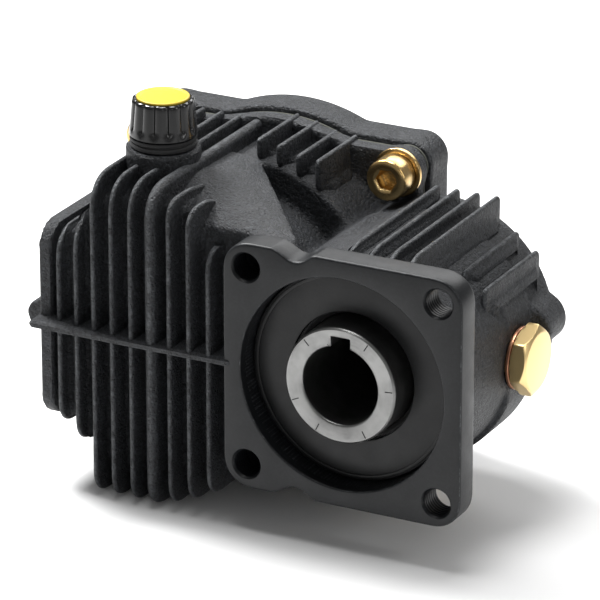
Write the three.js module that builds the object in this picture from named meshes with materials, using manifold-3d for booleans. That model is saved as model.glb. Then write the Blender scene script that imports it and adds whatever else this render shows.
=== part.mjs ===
// A finned cast reduction gearbox that sits between an engine and a pressure washer pump.
// The engine's keyed shaft goes into the hollow pinion shaft at the front (-Y), and the pump's keyed
// shaft goes into the hollow output shaft at the back (+Y). Millimetres, +Z up.
// Pieces are laid out from a datum: the pinion shaft's axis, on the front flange's face.
import * as THREE from "three";
import { mergeVertices } from "three/addons/utils/BufferGeometryUtils.js";
import Module from "manifold-3d";

const wasm = await Module();
wasm.setup();

// ---- Driving dimensions ------------------------------------------------------------------------

const clearance = 0.3; // between pieces that touch or fit into each other
const runOut = 1; // how far a cutting tool runs past the face that it opens

// Gear pair
const gearModule = 2;
const pinionTeeth = 20;
const wheelTeeth = 39;
const pressureAngle = THREE.MathUtils.degToRad(20);
const backlash = 0.4;
const faceWidth = 12;
const pinionExtraWidth = 0.8;
const gearFrontY = 55;
const centreDistance = (gearModule * (pinionTeeth + wheelTeeth)) / 2;
const pinionTip = (gearModule * (pinionTeeth + 2)) / 2;
const wheelTip = (gearModule * (wheelTeeth + 2)) / 2;

// Engine flange, at the front
const flangeHalf = 40.5;
const flangeThickness = 10;
const flangeCornerRadius = 9;
const engineBoltHalfSpacing = 32.55;
const engineHoleRadius = 4.5;
const pilotRadius = 34.55;
const recessDepth = 8;
const scallopRadius = 6.6;

// Pinion shaft and its line
const engineBore = 12.7;
const engineKeyWidth = 6.35;
const engineKeyDepth = 2.9;
const noseRadius = 18.85;
const noseStandOut = 0.8;
const boreChamfer = 0.6;
const frontJournalRadius = 20;
const rearJournalRadius = 17.5;
const shoulderRun = 1;
const sealCoverLength = 9.3;
const coverHoleRadius = 20.8;
const coverLip = 1.7;
const frontSealRadius = 26;
const bigBearing = { bore: 20, outside: 34, width: 15, balls: 8 };
const thinBearing = { bore: 17.5, outside: 23.5, width: 7, balls: 8 };
const outputBearing = { bore: 20, outside: 31, width: 11, balls: 8 };
const gearToBearing = 1.2;
const rearBearingY = gearFrontY + faceWidth + pinionExtraWidth / 2 + gearToBearing;
const blindWall = 2.1;
const casingBackY = rearBearingY + thinBearing.width + clearance + blindWall;

// Right-hand housing, round the pinion shaft
const housingWall = 3.7;
const housingRadius = bigBearing.outside + clearance + housingWall;
const housingRearRadius = housingRadius - 0.7;
const housingStepY = 58;
const housingBackY = casingBackY - 3;
const housingCavityRadius = 31.5;
const blindBossRadius = 31;
const shoulderClearance = 0.5;
const belly = { x: 1.1, z: -1.3, frontY: 41 };

// Gear drum and rear flange, round the output shaft
const wheelClearance = 1.3;
const drumWall = 4.7;
const drumRadius = wheelTip + wheelClearance + drumWall;
const drumFrontY = 51;
const drumFrontWall = 3.2;
const gasketThickness = 0.8;
const gasketInset = 0.5;
const rearFlangeThickness = 12.7;
const flangeOverhang = 3.4; // of the rear flange's straight sides past the drum
const rearFlangeHalf = drumRadius + flangeOverhang;
const screwInset = 4;
const lobeHalfSpacing = drumRadius - screwInset;
const lobeRadius = 7.8;
const bulgeOverhang = 7.9;
const bulgeRadius = drumRadius + bulgeOverhang;
const rimInset = 1.5;
const rimThickness = 6;
const rearPilotRadius = 32;
const rearPilotDepth = 3.1;
const pumpBoltCircle = 45;
const pumpHoleRadius = 4.25;
const pumpHoleDepth = 9;
const hubRadius = 34.6;

// Output shaft
const pumpBore = 12;
const pumpKeyWidth = 8;
const pumpKeyDepth = 3.3;
const outputFrontY = 37.2;
const blindEnd = 4;
const outputJournalRadius = 20;
const wheelSeatRadius = 22;
const wheelKey = { width: 8, height: 5.4, length: 10 };
const rearSealRadius = 27;
const rearSealWidth = 5.5;
const hubWall = 5;
const rimWall = 3.5;

// Left-hand oil casing
const casingLeftX = -centreDistance - drumRadius - 0.8;
const wallShoulder = { x: casingLeftX + 10.8, top: 33, bottom: -35 };
const roofEdgeX = casingLeftX + 20.8;
const leftWall = { top: 24, bottom: -26 };
const casingFrontY = 9;
const coreTop = 44;
const casingWall = 4;
const tunnelWall = 5.2;
const tunnelRadius = outputBearing.outside + clearance + tunnelWall;
const tunnelCavityRadius = 20;
const saddleFrontTop = 39;
const saddleBackTop = drumRadius;
const saddleFrontX = -18.5;
const saddleBackX = -centreDistance + 4.2;

// Cooling fins
const finThickness = 1.9;
const finPitch = 6.87;
const leftFinPitch = 6.85;
const leftFinsFirstX = casingLeftX - 0.8;
const leftFinTops = [31.5, 31.5, 37, 52, 52, 52, 52, 49, 47, 35];
const leftFinBottoms = [-33.5, -34.6, -39, -54.8, -54.8, -54.8, -54.8, -53, -50.5, -47];
const leftFinFronts = [5, 3.6, 2.4, 1.2, 0.6, 0.3, 0, 0, 0, 0];
const leftFinBackY = casingBackY - 4;
const thickFin = { index: 6, thickness: 4 };
const topFinRadius = 12;
const bottomFinRadius = 8;
const drumFinHeights = [7, 5.7, 3.7, 3.2]; // over the drum's top
const drumFinsFirstX = -centreDistance + 4;
const housingFinsFirstX = -1.9;
const housingFinHeights = [3.4, 3.4, 3.4, 3.4, -7.1, -12.2]; // over the housing's top
const longHousingFins = 4;
const shortFinFrontY = 32;
const housingFinBackY = casingBackY - 7;

// Casting details
const ribHeight = 2.2;
const ribFrontY = -0.7;
const ribBackY = 12;
const ribRightX = -flangeHalf + 2.5;
const lug = { x: casingLeftX - 3.2, frontY: 8, backY: 15, radius: 4.8 };
const sideBoss = { x: housingRadius - 3.5, z: 4.3, radius: 8, frontY: 58, backY: casingBackY - 6 };

// Plugs, screws and cap
const levelSeat = housingRadius - 1;
const drainSeat = housingRadius + 1;
const plugToPinion = 4;
const levelPlug = {
  y: 47.6, z: -1.1, seat: levelSeat, flats: 20, head: 5.5, thread: 8.3, length: levelSeat - pinionTip - plugToPinion,
};
const drainPlug = { y: 47.6, x: 0, seat: drainSeat, flats: 17, head: 5, thread: 6, length: 10 };
const plugHexTurn = THREE.MathUtils.degToRad(18);
const plugWasherThickness = 1.2;
const plugWasherRim = 2.6;
const spotFaceMargin = 1.5;
const spotFaceReach = 8; // how far a spot-facing tool comes in above the seat
const plugBoreDepth = 4; // how far a plug's bore reaches into the housing's hollow
const plugChamfer = { height: 1.2, inset: 0.4 };
const screw = {
  head: 6.75, headHeight: 8, chamfer: 0.6, shank: 4, length: 20, tip: 1, socketFlats: 6, socketDepth: 4.5,
};
const washer = { outside: 8, thickness: 1.6 };
const dowel = { radius: 3, length: 12 };
const filler = { x: -centreDistance - 18, y: 29.6, bossRadius: 11.8, bossTop: 55.4, stem: 8, stemLength: 12 };
const cap = {
  bottomRadius: 10.8, topRadius: 9.6, height: 12.1, skirt: 2.5, flutes: 14, fluteDepth: 0.7, fluteRadius: 1.4,
};
const fluteFacets = 8;
const capSeal = { thickness: 3.2, outside: 10.6 };
const capDisc = { radius: 9, thickness: 1.4, sunk: 0.9 };
const dipstick = { radius: 1.8, bottomZ: 16 };

// Places that follow from the sizes above
const outputX = -centreDistance;
const rearFlangeFrontY = casingBackY + 2 * clearance + gasketThickness;
const rearFlangeBackY = rearFlangeFrontY + rearFlangeThickness;
const frontBearingY = recessDepth + sealCoverLength + clearance;
const frontBearingBackY = frontBearingY + bigBearing.width;
const rearBearingBackY = rearBearingY + thinBearing.width;
const drumCavityRadius = drumRadius - drumWall;
const gearBackY = gearFrontY + faceWidth;
const screwSeatY = casingBackY - rimThickness;
const sealBoreBackY = rearFlangeBackY - rearPilotDepth;
const outputRearBearingY = sealBoreBackY - rearSealWidth - outputBearing.width - 3 * clearance;
const tipOf = (teeth) => (gearModule * (teeth + 2)) / 2;
const rootOf = (teeth) => (gearModule * (teeth - 2.5)) / 2;

// ---- Finishes ----------------------------------------------------------------------------------

function finish(color, roughness, metalness) {
  return new THREE.MeshStandardMaterial({ color, roughness, metalness });
}

const blackCasting = finish(0x24272a, 0.7, 0.3);
const turnedSteel = finish(0xa9a9a6, 0.3, 1);
const groundSteel = finish(0xc3c5c8, 0.2, 1);
const gearSteel = finish(0x8f9193, 0.35, 1);
const yellowZinc = finish(0xd2a24a, 0.3, 1);
const brass = finish(0xe0b66c, 0.28, 1);
const copper = finish(0xb8704a, 0.4, 1);
const blackRubber = finish(0x17181a, 0.8, 0);
const blackPlastic = finish(0x121314, 0.25, 0);
const yellowPlastic = finish(0xf4d21c, 0.4, 0);
const fibre = finish(0x4a4c45, 0.9, 0);

// ---- Shape helpers -----------------------------------------------------------------------------

// A closed three.js geometry as a solid, with its faces turned outwards.
function solid(geometry) {
  const bare = geometry.clone();
  bare.deleteAttribute("normal");
  bare.deleteAttribute("uv");
  const merged = mergeVertices(bare, 1e-4);
  const vertProperties = new Float32Array(merged.getAttribute("position").array);
  const corners = Array.from(merged.index.array);
  const triangles = [];
  for (let i = 0; i < corners.length; i += 3) {
    const [a, b, c] = corners.slice(i, i + 3);
    if (a !== b && b !== c && c !== a) triangles.push([a, b, c]);
  }
  const build = (list) =>
    new wasm.Manifold(new wasm.Mesh({ numProp: 3, vertProperties, triVerts: new Uint32Array(list.flat()) }));
  const made = build(triangles);
  return made.volume() > 0 ? made : build(triangles.map(([a, b, c]) => [a, c, b]));
}

// A solid as a named mesh.
function piece(name, body, material) {
  const { vertProperties, triVerts, numProp } = body.getMesh();
  const geometry = new THREE.BufferGeometry();
  const points = new Float32Array((vertProperties.length / numProp) * 3);
  for (let i = 0; i < points.length / 3; i++)
    for (let axis = 0; axis < 3; axis++) points[3 * i + axis] = vertProperties[numProp * i + axis];
  geometry.setAttribute("position", new THREE.BufferAttribute(points, 3));
  geometry.setIndex(new THREE.BufferAttribute(new Uint32Array(triVerts), 1));
  geometry.computeVertexNormals();
  const mesh = new THREE.Mesh(geometry, material);
  mesh.name = name;
  return mesh;
}

// An outline carried straight along an axis. The outline is drawn in (X, Z), (Y, Z) or (X, Y).
const alongY = new THREE.Matrix4().makeBasis(
  new THREE.Vector3(1, 0, 0), new THREE.Vector3(0, 0, 1), new THREE.Vector3(0, -1, 0));
const alongX = new THREE.Matrix4().makeBasis(
  new THREE.Vector3(0, 1, 0), new THREE.Vector3(0, 0, 1), new THREE.Vector3(1, 0, 0));

function extrude(outline, depth, curveSegments) {
  return new THREE.ExtrudeGeometry(outline, { depth, bevelEnabled: false, curveSegments });
}

function extrudeY(outline, fromY, toY, curveSegments = 8) {
  return solid(extrude(outline, toY - fromY, curveSegments).applyMatrix4(alongY).translate(0, toY, 0));
}

function extrudeX(outline, fromX, toX, curveSegments = 5) {
  return solid(extrude(outline, toX - fromX, curveSegments).applyMatrix4(alongX).translate(fromX, 0, 0));
}

function extrudeZ(outline, fromZ, toZ, curveSegments = 8) {
  return solid(extrude(outline, toZ - fromZ, curveSegments).translate(0, 0, fromZ));
}

// How many flat facets stand for a full round. The facets of a bore stay outside what runs in it with
// the clearance above.
const facets = (radius) => 4 * Math.ceil(1.15 * Math.sqrt(radius));
const widest = (profile) => Math.max(...profile.map(([radius]) => radius));

// A profile of [radius, y] points turned round an axis along Y through (x, z).
function turned(profile, x = 0, z = 0, segments = facets(widest(profile))) {
  const points = profile.map(([radius, y]) => new THREE.Vector2(radius, y));
  points.push(points[0].clone());
  return solid(new THREE.LatheGeometry(points, segments).translate(x, 0, z));
}

const diskProfile = (radius, from, to) => [[0, from], [radius, from], [radius, to], [0, to]];
const ringProfile = (inside, outside, from, to) =>
  [[inside, from], [outside, from], [outside, to], [inside, to]];

const rod = (radius, fromY, toY, x = 0, z = 0) => turned(diskProfile(radius, fromY, toY), x, z);
const tube = (inside, outside, fromY, toY, x = 0, z = 0) =>
  turned(ringProfile(inside, outside, fromY, toY), x, z);

// The same turned shapes with their axis along +X through (y, z), or along +Z through (x, y).
function turnedX(profile, y = 0, z = 0, segments = facets(widest(profile))) {
  const points = profile.map(([radius, along]) => new THREE.Vector2(radius, along));
  points.push(points[0].clone());
  return solid(new THREE.LatheGeometry(points, segments).rotateZ(-Math.PI / 2).translate(0, y, z));
}

function turnedZ(profile, x = 0, y = 0, segments = facets(widest(profile))) {
  const points = profile.map(([radius, along]) => new THREE.Vector2(radius, along));
  points.push(points[0].clone());
  return solid(new THREE.LatheGeometry(points, segments).rotateX(Math.PI / 2).translate(x, y, 0));
}

const union = (...bodies) => bodies.reduce((sum, body) => sum.add(body));

// A box from its lowest and highest corners.
function block([x0, y0, z0], [x1, y1, z1]) {
  const geometry = new THREE.BoxGeometry(x1 - x0, y1 - y0, z1 - z0);
  return solid(geometry.translate((x0 + x1) / 2, (y0 + y1) / 2, (z0 + z1) / 2));
}

function polygon(points) {
  return new THREE.Shape(points.map(([a, b]) => new THREE.Vector2(a, b)));
}

function hexagon(acrossFlats, turn = 0) {
  const corner = acrossFlats / Math.sqrt(3);
  return polygon(Array.from({ length: 6 }, (_, i) => {
    const angle = turn + (i * Math.PI) / 3;
    return [corner * Math.cos(angle), corner * Math.sin(angle)];
  }));
}

const fourCorners = [[1, 1], [-1, 1], [-1, -1], [1, -1]];

// ---- Gear teeth --------------------------------------------------------------------------------

// The outline of an involute spur gear. A tooth's half angle at radius r is its half angle on the
// pitch circle plus inv(pressure angle) - inv(angle at r), where inv(a) = tan(a) - a.
function gearOutline(teeth, turn) {
  const pitch = (gearModule * teeth) / 2;
  const base = pitch * Math.cos(pressureAngle);
  const inv = (a) => Math.tan(a) - a;
  const onPitch = Math.PI / (2 * teeth) - backlash / (2 * pitch);
  const halfAngle = (r) => onPitch + inv(pressureAngle) - inv(Math.acos(Math.min(1, base / r)));
  const flank = [rootOf(teeth), pitch, tipOf(teeth)];
  const points = [];
  for (let tooth = 0; tooth < teeth; tooth++) {
    const centre = turn + (tooth * 2 * Math.PI) / teeth;
    const place = (r, side) => {
      const angle = centre + side * halfAngle(r);
      points.push([r * Math.cos(angle), r * Math.sin(angle)]);
    };
    flank.forEach((r) => place(r, -1));
    [...flank].reverse().forEach((r) => place(r, 1));
  }
  return polygon(points);
}

// ---- Ball bearings -----------------------------------------------------------------------------

// Outer race, inner race and caged balls of a deep-groove bearing, at fromY on the Y axis. A race's
// groove is a shallow trough that keeps clear of the balls by the clearance.
function bearing(name, { bore, outside, width, balls }, fromY) {
  const inner = bore + clearance;
  const outer = outside;
  const y0 = fromY + clearance / 2;
  const y1 = fromY + width - clearance / 2;
  const middle = (y0 + y1) / 2;
  const pitch = (inner + outer) / 2;
  const ball = 0.288 * (outer - inner);
  const shoulder = 0.76 * ball;
  const mouth = Math.sqrt(ball ** 2 - shoulder ** 2) + clearance;
  const floor = ball + 2 * clearance;
  const trough = 0.27 * ball;
  const groove = (side) => [
    [pitch + side * shoulder, middle - side * mouth],
    [pitch + side * floor, middle - side * trough],
    [pitch + side * floor, middle + side * trough],
    [pitch + side * shoulder, middle + side * mouth],
  ];
  const outerRace = turned(
    [...groove(1), [pitch + shoulder, y1], [outer, y1], [outer, y0], [pitch + shoulder, y0]]);
  const innerRace = turned(
    [...groove(-1), [pitch - shoulder, y0], [inner, y0], [inner, y1], [pitch - shoulder, y1]]);
  let cage = tube(pitch - shoulder / 3, pitch + shoulder / 3, middle - shoulder / 2, middle + shoulder / 2);
  for (let i = 0; i < balls; i++) {
    const angle = (i * 2 * Math.PI) / balls;
    const sphere = new THREE.SphereGeometry(ball, 6, 4);
    cage = cage.add(solid(sphere.translate(pitch * Math.cos(angle), middle, pitch * Math.sin(angle))));
  }
  return [
    piece(`${name}_outer_race`, outerRace, groundSteel),
    piece(`${name}_inner_race`, innerRace, groundSteel),
    piece(`${name}_ball_cage`, cage, groundSteel),
  ];
}

// ---- Gear casing -------------------------------------------------------------------------------

// The engine flange: a square with round corners and two shallow scallops that let a key reach the
// rear flange's screws. The scallops lie in line with those screws.
function engineFlange() {
  const r = flangeCornerRadius;
  const h = flangeHalf;
  const outline = new THREE.Shape();
  outline.moveTo(-h + r, -h);
  outline.lineTo(h - r, -h);
  outline.absarc(h - r, -h + r, r, -Math.PI / 2, 0);
  outline.absarc(h - r, h - r, r, 0, Math.PI / 2);
  outline.absarc(-h + r, h - r, r, Math.PI / 2, Math.PI);
  outline.absarc(-h + r, -h + r, r, Math.PI, 1.5 * Math.PI);
  let plate = extrudeY(outline, 0, flangeThickness, 6);
  for (const side of [1, -1]) {
    const cutter = rod(
      scallopRadius, -runOut, flangeThickness + runOut, outputX + lobeHalfSpacing, side * lobeHalfSpacing);
    plate = plate.subtract(cutter);
  }
  return plate;
}

// The square rear outline with a round lobe at each screw and the drum's round bulge.
function rearOutline(inset, fromY, toY) {
  const half = rearFlangeHalf - inset;
  const square = block([outputX - half, fromY, -half], [outputX + half, toY, half]);
  const corner = lobeHalfSpacing;
  let plate = square;
  for (const [sx, sz] of fourCorners) {
    const x = outputX + sx * corner;
    const z = sz * corner;
    const edge = half + runOut;
    const cutX = [outputX + sx * corner, outputX + sx * edge].sort((a, b) => a - b);
    const cutZ = [sz * corner, sz * edge].sort((a, b) => a - b);
    plate = plate
      .subtract(block([cutX[0], fromY - runOut, cutZ[0]], [cutX[1], toY + runOut, cutZ[1]]))
      .add(rod(lobeRadius - inset / 2, fromY, toY, x, z));
  }
  return plate.add(rod(bulgeRadius - inset, fromY, toY, outputX, 0));
}

// One cooling fin: a plate across X whose front corners are rounded.
function fin(x, thickness, frontY, backY, bottom, top, topRadius, bottomRadius) {
  const outline = new THREE.Shape();
  outline.moveTo(backY, bottom);
  outline.lineTo(backY, top);
  outline.lineTo(frontY + topRadius, top);
  if (topRadius > 0) outline.absarc(frontY + topRadius, top - topRadius, topRadius, Math.PI / 2, Math.PI);
  outline.lineTo(frontY, bottom + bottomRadius);
  if (bottomRadius > 0)
    outline.absarc(frontY + bottomRadius, bottom + bottomRadius, bottomRadius, Math.PI, 1.5 * Math.PI);
  return extrudeX(outline, x - thickness / 2, x + thickness / 2);
}

// The oil casing's own wall outline, from which the fins stand out.
function coreOutline(inset) {
  const left = casingLeftX + inset;
  const shoulderX = wallShoulder.x + inset;
  const roofX = roofEdgeX + inset;
  const top = coreTop - inset;
  const lean = inset / 2;
  return [
    [left, leftWall.bottom + lean], [left, leftWall.top - lean],
    [shoulderX, wallShoulder.top - lean], [roofX, top], [outputX, top],
    [outputX, -top], [roofX, -top], [shoulderX, wallShoulder.bottom + lean],
  ];
}

// The sloping saddle that joins the oil casing to the engine flange, cut off along the line that
// runs from behind the flange to the drum.
function saddle() {
  const side = polygon([
    [casingFrontY, -saddleFrontTop], [casingFrontY, saddleFrontTop], [drumFrontY, saddleBackTop],
    [drumFrontY + runOut, saddleBackTop], [drumFrontY + runOut, -saddleBackTop], [drumFrontY, -saddleBackTop],
  ]);
  const footprint = polygon([
    [leftFinsFirstX + 6 * leftFinPitch, casingFrontY], [saddleFrontX, casingFrontY],
    [saddleBackX, drumFrontY + runOut], [leftFinsFirstX + 6 * leftFinPitch, drumFrontY + runOut],
  ]);
  const tall = extrudeZ(footprint, -saddleBackTop - runOut, saddleBackTop + runOut);
  return extrudeX(side, leftFinsFirstX + 5 * leftFinPitch, saddleFrontX + runOut).intersect(tall);
}

function casingFins() {
  const fins = leftFinTops.map((top, i) => {
    const thickness = i === thickFin.index ? thickFin.thickness : finThickness;
    const x = leftFinsFirstX + i * leftFinPitch;
    const radius = Math.min(topFinRadius, top / 3);
    return fin(x, thickness, leftFinFronts[i], leftFinBackY, leftFinBottoms[i], top, radius, bottomFinRadius);
  });
  drumFinHeights.forEach((height, i) => {
    const top = drumRadius + height;
    fins.push(fin(drumFinsFirstX + i * finPitch, finThickness, drumFrontY, casingBackY, 0, top, 0, 0));
    fins.push(fin(drumFinsFirstX + i * finPitch, finThickness, drumFrontY, casingBackY, -top, 0, 0, 0));
  });
  housingFinHeights.forEach((height, i) => {
    const top = housingRadius + height;
    const frontY = i < longHousingFins ? flangeThickness - runOut : shortFinFrontY;
    fins.push(fin(housingFinsFirstX + i * finPitch, finThickness, frontY, housingFinBackY, 0, top, 0, 0));
  });
  return fins;
}

function gearCasing() {
  const oilCore = extrudeY(polygon(coreOutline(0)), casingFrontY, screwSeatY + runOut);
  const tunnel = rod(tunnelRadius, casingFrontY, drumFrontY + runOut, outputX, 0);
  const drum = rod(drumRadius, drumFrontY, casingBackY, outputX, 0);
  const housing = turned([
    [0, flangeThickness - runOut], [housingRadius, flangeThickness - runOut], [housingRadius, housingStepY],
    [housingRearRadius, housingStepY], [housingRearRadius, housingBackY], [blindBossRadius, housingBackY],
    [blindBossRadius, casingBackY], [0, casingBackY],
  ]);
  const bellySwell = rod(housingRadius, belly.frontY, housingStepY, belly.x, belly.z);
  const rim = rearOutline(rimInset, screwSeatY, casingBackY);
  const bossProfile = diskProfile(filler.bossRadius, coreTop - casingWall, filler.bossTop);
  const fillerBoss = turnedZ(bossProfile, filler.x, filler.y);
  const rib = block([lug.x, ribFrontY, -ribHeight / 2], [ribRightX, ribBackY, ribHeight / 2]);
  const sideLug = rod(lug.radius, lug.frontY, lug.backY, lug.x, 0);
  const boss = rod(sideBoss.radius, sideBoss.frontY, sideBoss.backY, sideBoss.x, sideBoss.z);
  const outside = union(
    engineFlange(), oilCore, tunnel, saddle(), drum, housing, bellySwell, rim,
    fillerBoss, rib, sideLug, boss, ...casingFins());

  const frontInsideY = casingFrontY + casingWall;
  const drumInsideY = drumFrontY + drumFrontWall;
  const oilSpace = extrudeY(polygon(coreOutline(casingWall)), frontInsideY, drumInsideY);
  const gearSpace = rod(drumCavityRadius, drumInsideY, casingBackY + runOut, outputX, 0);
  const shaftTunnel = rod(tunnelCavityRadius, frontInsideY, gearFrontY, outputX);
  const pilot = rod(pilotRadius, -runOut, recessDepth + sealCoverLength + clearance);
  const bigBearingBore = rod(bigBearing.outside + clearance, frontBearingY, frontBearingBackY);
  const pinionSpace = rod(housingCavityRadius, frontBearingBackY - runOut, rearBearingY - shoulderClearance);
  const thinBearingBore = rod(
    thinBearing.outside + clearance, rearBearingY - runOut, rearBearingBackY + clearance);
  const inside = union(oilSpace, gearSpace, shaftTunnel, pilot, bigBearingBore, pinionSpace, thinBearingBore);

  // The output shaft's front bearing sits in the tunnel's back end, against a shoulder.
  const seatRing = rod(tunnelRadius, frontBearingBackY + clearance, drumInsideY, outputX);
  const seatBore = rod(outputBearing.outside + clearance, outputFrontY - clearance / 2, gearFrontY, outputX);
  const shoulderBore = rod(tunnelCavityRadius, frontBearingBackY, gearFrontY, outputX);
  let casing = outside.subtract(inside).add(seatRing).subtract(seatBore).subtract(shoulderBore);

  const plugBoreEnd = housingCavityRadius - plugBoreDepth;
  const levelBore = diskProfile(levelPlug.thread + clearance, plugBoreEnd, levelPlug.seat + runOut);
  const levelSpot = diskProfile(spotFaceRadius(levelPlug), levelPlug.seat, levelPlug.seat + spotFaceReach);
  const drainBore = diskProfile(drainPlug.thread + clearance, -drainPlug.seat - runOut, -plugBoreEnd);
  const drainSpot = diskProfile(spotFaceRadius(drainPlug), -drainPlug.seat - spotFaceReach, -drainPlug.seat);
  const neck = diskProfile(filler.stem + clearance, coreTop - casingWall - runOut, filler.bossTop + runOut);
  const holes = [
    turnedZ(neck, filler.x, filler.y),
    turnedX(levelBore, levelPlug.y, levelPlug.z),
    turnedX(levelSpot, levelPlug.y, levelPlug.z),
    turnedZ(drainBore, drainPlug.x, drainPlug.y),
    turnedZ(drainSpot, drainPlug.x, drainPlug.y),
  ];
  for (const [sx, sz] of fourCorners) {
    const x = outputX + sx * lobeHalfSpacing;
    const z = sz * lobeHalfSpacing;
    const boltX = sx * engineBoltHalfSpacing;
    const boltZ = sz * engineBoltHalfSpacing;
    holes.push(rod(engineHoleRadius, -runOut, flangeThickness + runOut, boltX, boltZ));
    holes.push(rod(screw.shank + clearance, screwSeatY - runOut, casingBackY + runOut, x, z));
    holes.push(rod(washer.outside + spotFaceMargin, shortFinFrontY, screwSeatY, x, z));
  }
  for (const [x, z] of dowelPlaces())
    holes.push(rod(dowel.radius + clearance, casingBackY - dowel.length / 2, casingBackY + runOut, x, z));
  for (const hole of holes) casing = casing.subtract(hole);
  return piece("gear_casing", casing, blackCasting);
}

function spotFaceRadius({ flats }) {
  return flats / Math.sqrt(3) + spotFaceMargin;
}

// The two dowels stand left of the drum's bore and above it, half way to the rim.
function dowelPlaces() {
  const distance = (drumCavityRadius + bulgeRadius - rimInset) / 2;
  return [[outputX - distance, 0], [outputX, distance]];
}

// ---- Rear flange -------------------------------------------------------------------------------

function rearFlange() {
  const bore = outputBearing.outside + clearance;
  const plate = rearOutline(0, rearFlangeFrontY, rearFlangeBackY)
    .add(rod(hubRadius, outputRearBearingY, rearFlangeFrontY + runOut, outputX, 0));
  const passage = turned([
    [0, outputRearBearingY - runOut], [bore, outputRearBearingY - runOut],
    [bore, outputRearBearingY + outputBearing.width + clearance],
    [rearSealRadius + clearance, outputRearBearingY + outputBearing.width + clearance],
    [rearSealRadius + clearance, sealBoreBackY], [rearPilotRadius, sealBoreBackY],
    [rearPilotRadius, rearFlangeBackY + runOut], [0, rearFlangeBackY + runOut],
  ], outputX);
  const pumpHoleFloorY = rearFlangeBackY - pumpHoleDepth;
  let flange = plate.subtract(passage);
  for (const [sx, sz] of fourCorners) {
    const x = outputX + sx * lobeHalfSpacing;
    const z = sz * lobeHalfSpacing;
    const passThrough = rod(
      screw.shank + clearance, rearFlangeFrontY - runOut, rearFlangeBackY + runOut, x, z);
    const pumpX = outputX + (sx * pumpBoltCircle) / Math.SQRT2;
    const pumpZ = (sz * pumpBoltCircle) / Math.SQRT2;
    const pumpHole = rod(pumpHoleRadius, pumpHoleFloorY, rearFlangeBackY + runOut, pumpX, pumpZ);
    flange = flange.subtract(passThrough).subtract(pumpHole);
  }
  for (const [x, z] of dowelPlaces())
    flange = flange.subtract(
      rod(dowel.radius + clearance, rearFlangeFrontY - runOut, rearFlangeFrontY + dowel.length / 2, x, z));
  return piece("rear_flange", flange, blackCasting);
}

function casingGasket() {
  const fromY = casingBackY + clearance;
  const toY = fromY + gasketThickness;
  let sheet = rearOutline(rimInset + gasketInset, fromY, toY)
    .subtract(rod(drumCavityRadius, fromY - runOut, toY + runOut, outputX, 0));
  for (const [sx, sz] of fourCorners)
    sheet = sheet.subtract(rod(
      screw.shank + 2 * clearance, fromY - runOut, toY + runOut,
      outputX + sx * lobeHalfSpacing, sz * lobeHalfSpacing));
  for (const [x, z] of dowelPlaces())
    sheet = sheet.subtract(rod(dowel.radius + clearance, fromY - runOut, toY + runOut, x, z));
  return piece("casing_gasket", sheet, fibre);
}

// ---- Fasteners and plugs -----------------------------------------------------------------------

const headBackY = screwSeatY - washer.thickness - 2 * clearance;

function flangeScrew(number, x, z) {
  const frontY = headBackY - screw.headHeight;
  const body = turned([
    [0, frontY], [screw.head - screw.chamfer, frontY],
    [screw.head, frontY + screw.chamfer], [screw.head, headBackY],
    [screw.shank, headBackY], [screw.shank, headBackY + screw.length - screw.tip],
    [screw.shank - screw.tip, headBackY + screw.length], [0, headBackY + screw.length],
  ]);
  const socket = extrudeY(hexagon(screw.socketFlats), frontY - runOut, frontY + screw.socketDepth);
  return piece(`flange_screw_${number}`, body.subtract(socket).translate([x, 0, z]), yellowZinc);
}

function flangeWasher(number, x, z) {
  const backY = screwSeatY - clearance;
  const ring = tube(screw.shank + clearance, washer.outside, backY - washer.thickness, backY, x, z);
  return piece(`flange_washer_${number}`, ring, yellowZinc);
}

function flangeFasteners() {
  return fourCorners.flatMap(([sx, sz], i) => {
    const x = outputX + sx * lobeHalfSpacing;
    const z = sz * lobeHalfSpacing;
    return [flangeScrew(i + 1, x, z), flangeWasher(i + 1, x, z)];
  });
}

function locatingDowels() {
  const fromY = rearFlangeFrontY + dowel.length / 2 - clearance - dowel.length;
  return dowelPlaces().map(([x, z], i) =>
    piece(`locating_dowel_${i + 1}`, rod(dowel.radius, fromY, fromY + dowel.length, x, z), groundSteel));
}

// A hexagon-headed plug along +X from its washer's seat, before it is put in place.
function hexPlug({ flats, head, thread, length }) {
  const seat = plugWasherThickness + 2 * clearance;
  const hex = extrudeX(hexagon(flats, plugHexTurn), seat, seat + head);
  const corner = flats / Math.sqrt(3);
  const chamfer = turnedX([
    [0, seat - runOut], [corner, seat - runOut], [corner, seat + head - plugChamfer.height],
    [flats / 2 - plugChamfer.inset, seat + head], [0, seat + head],
  ]);
  const stem = turnedX(diskProfile(thread, -length, seat + clearance));
  return hex.intersect(chamfer).add(stem);
}

function plugWasher({ thread }) {
  const inside = thread + clearance;
  return turnedX(ringProfile(inside, thread + plugWasherRim, clearance, clearance + plugWasherThickness));
}

function plugs() {
  const level = [levelPlug.seat, levelPlug.y, levelPlug.z];
  const drain = [drainPlug.x, drainPlug.y, -drainPlug.seat];
  const down = (body) => body.rotate([0, 90, 0]);
  return [
    piece("level_plug", hexPlug(levelPlug).translate(level), brass),
    piece("level_plug_washer", plugWasher(levelPlug).translate(level), copper),
    piece("drain_plug", down(hexPlug(drainPlug)).translate(drain), brass),
    piece("drain_plug_washer", down(plugWasher(drainPlug)).translate(drain), copper),
  ];
}

// ---- Filler cap --------------------------------------------------------------------------------

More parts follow.
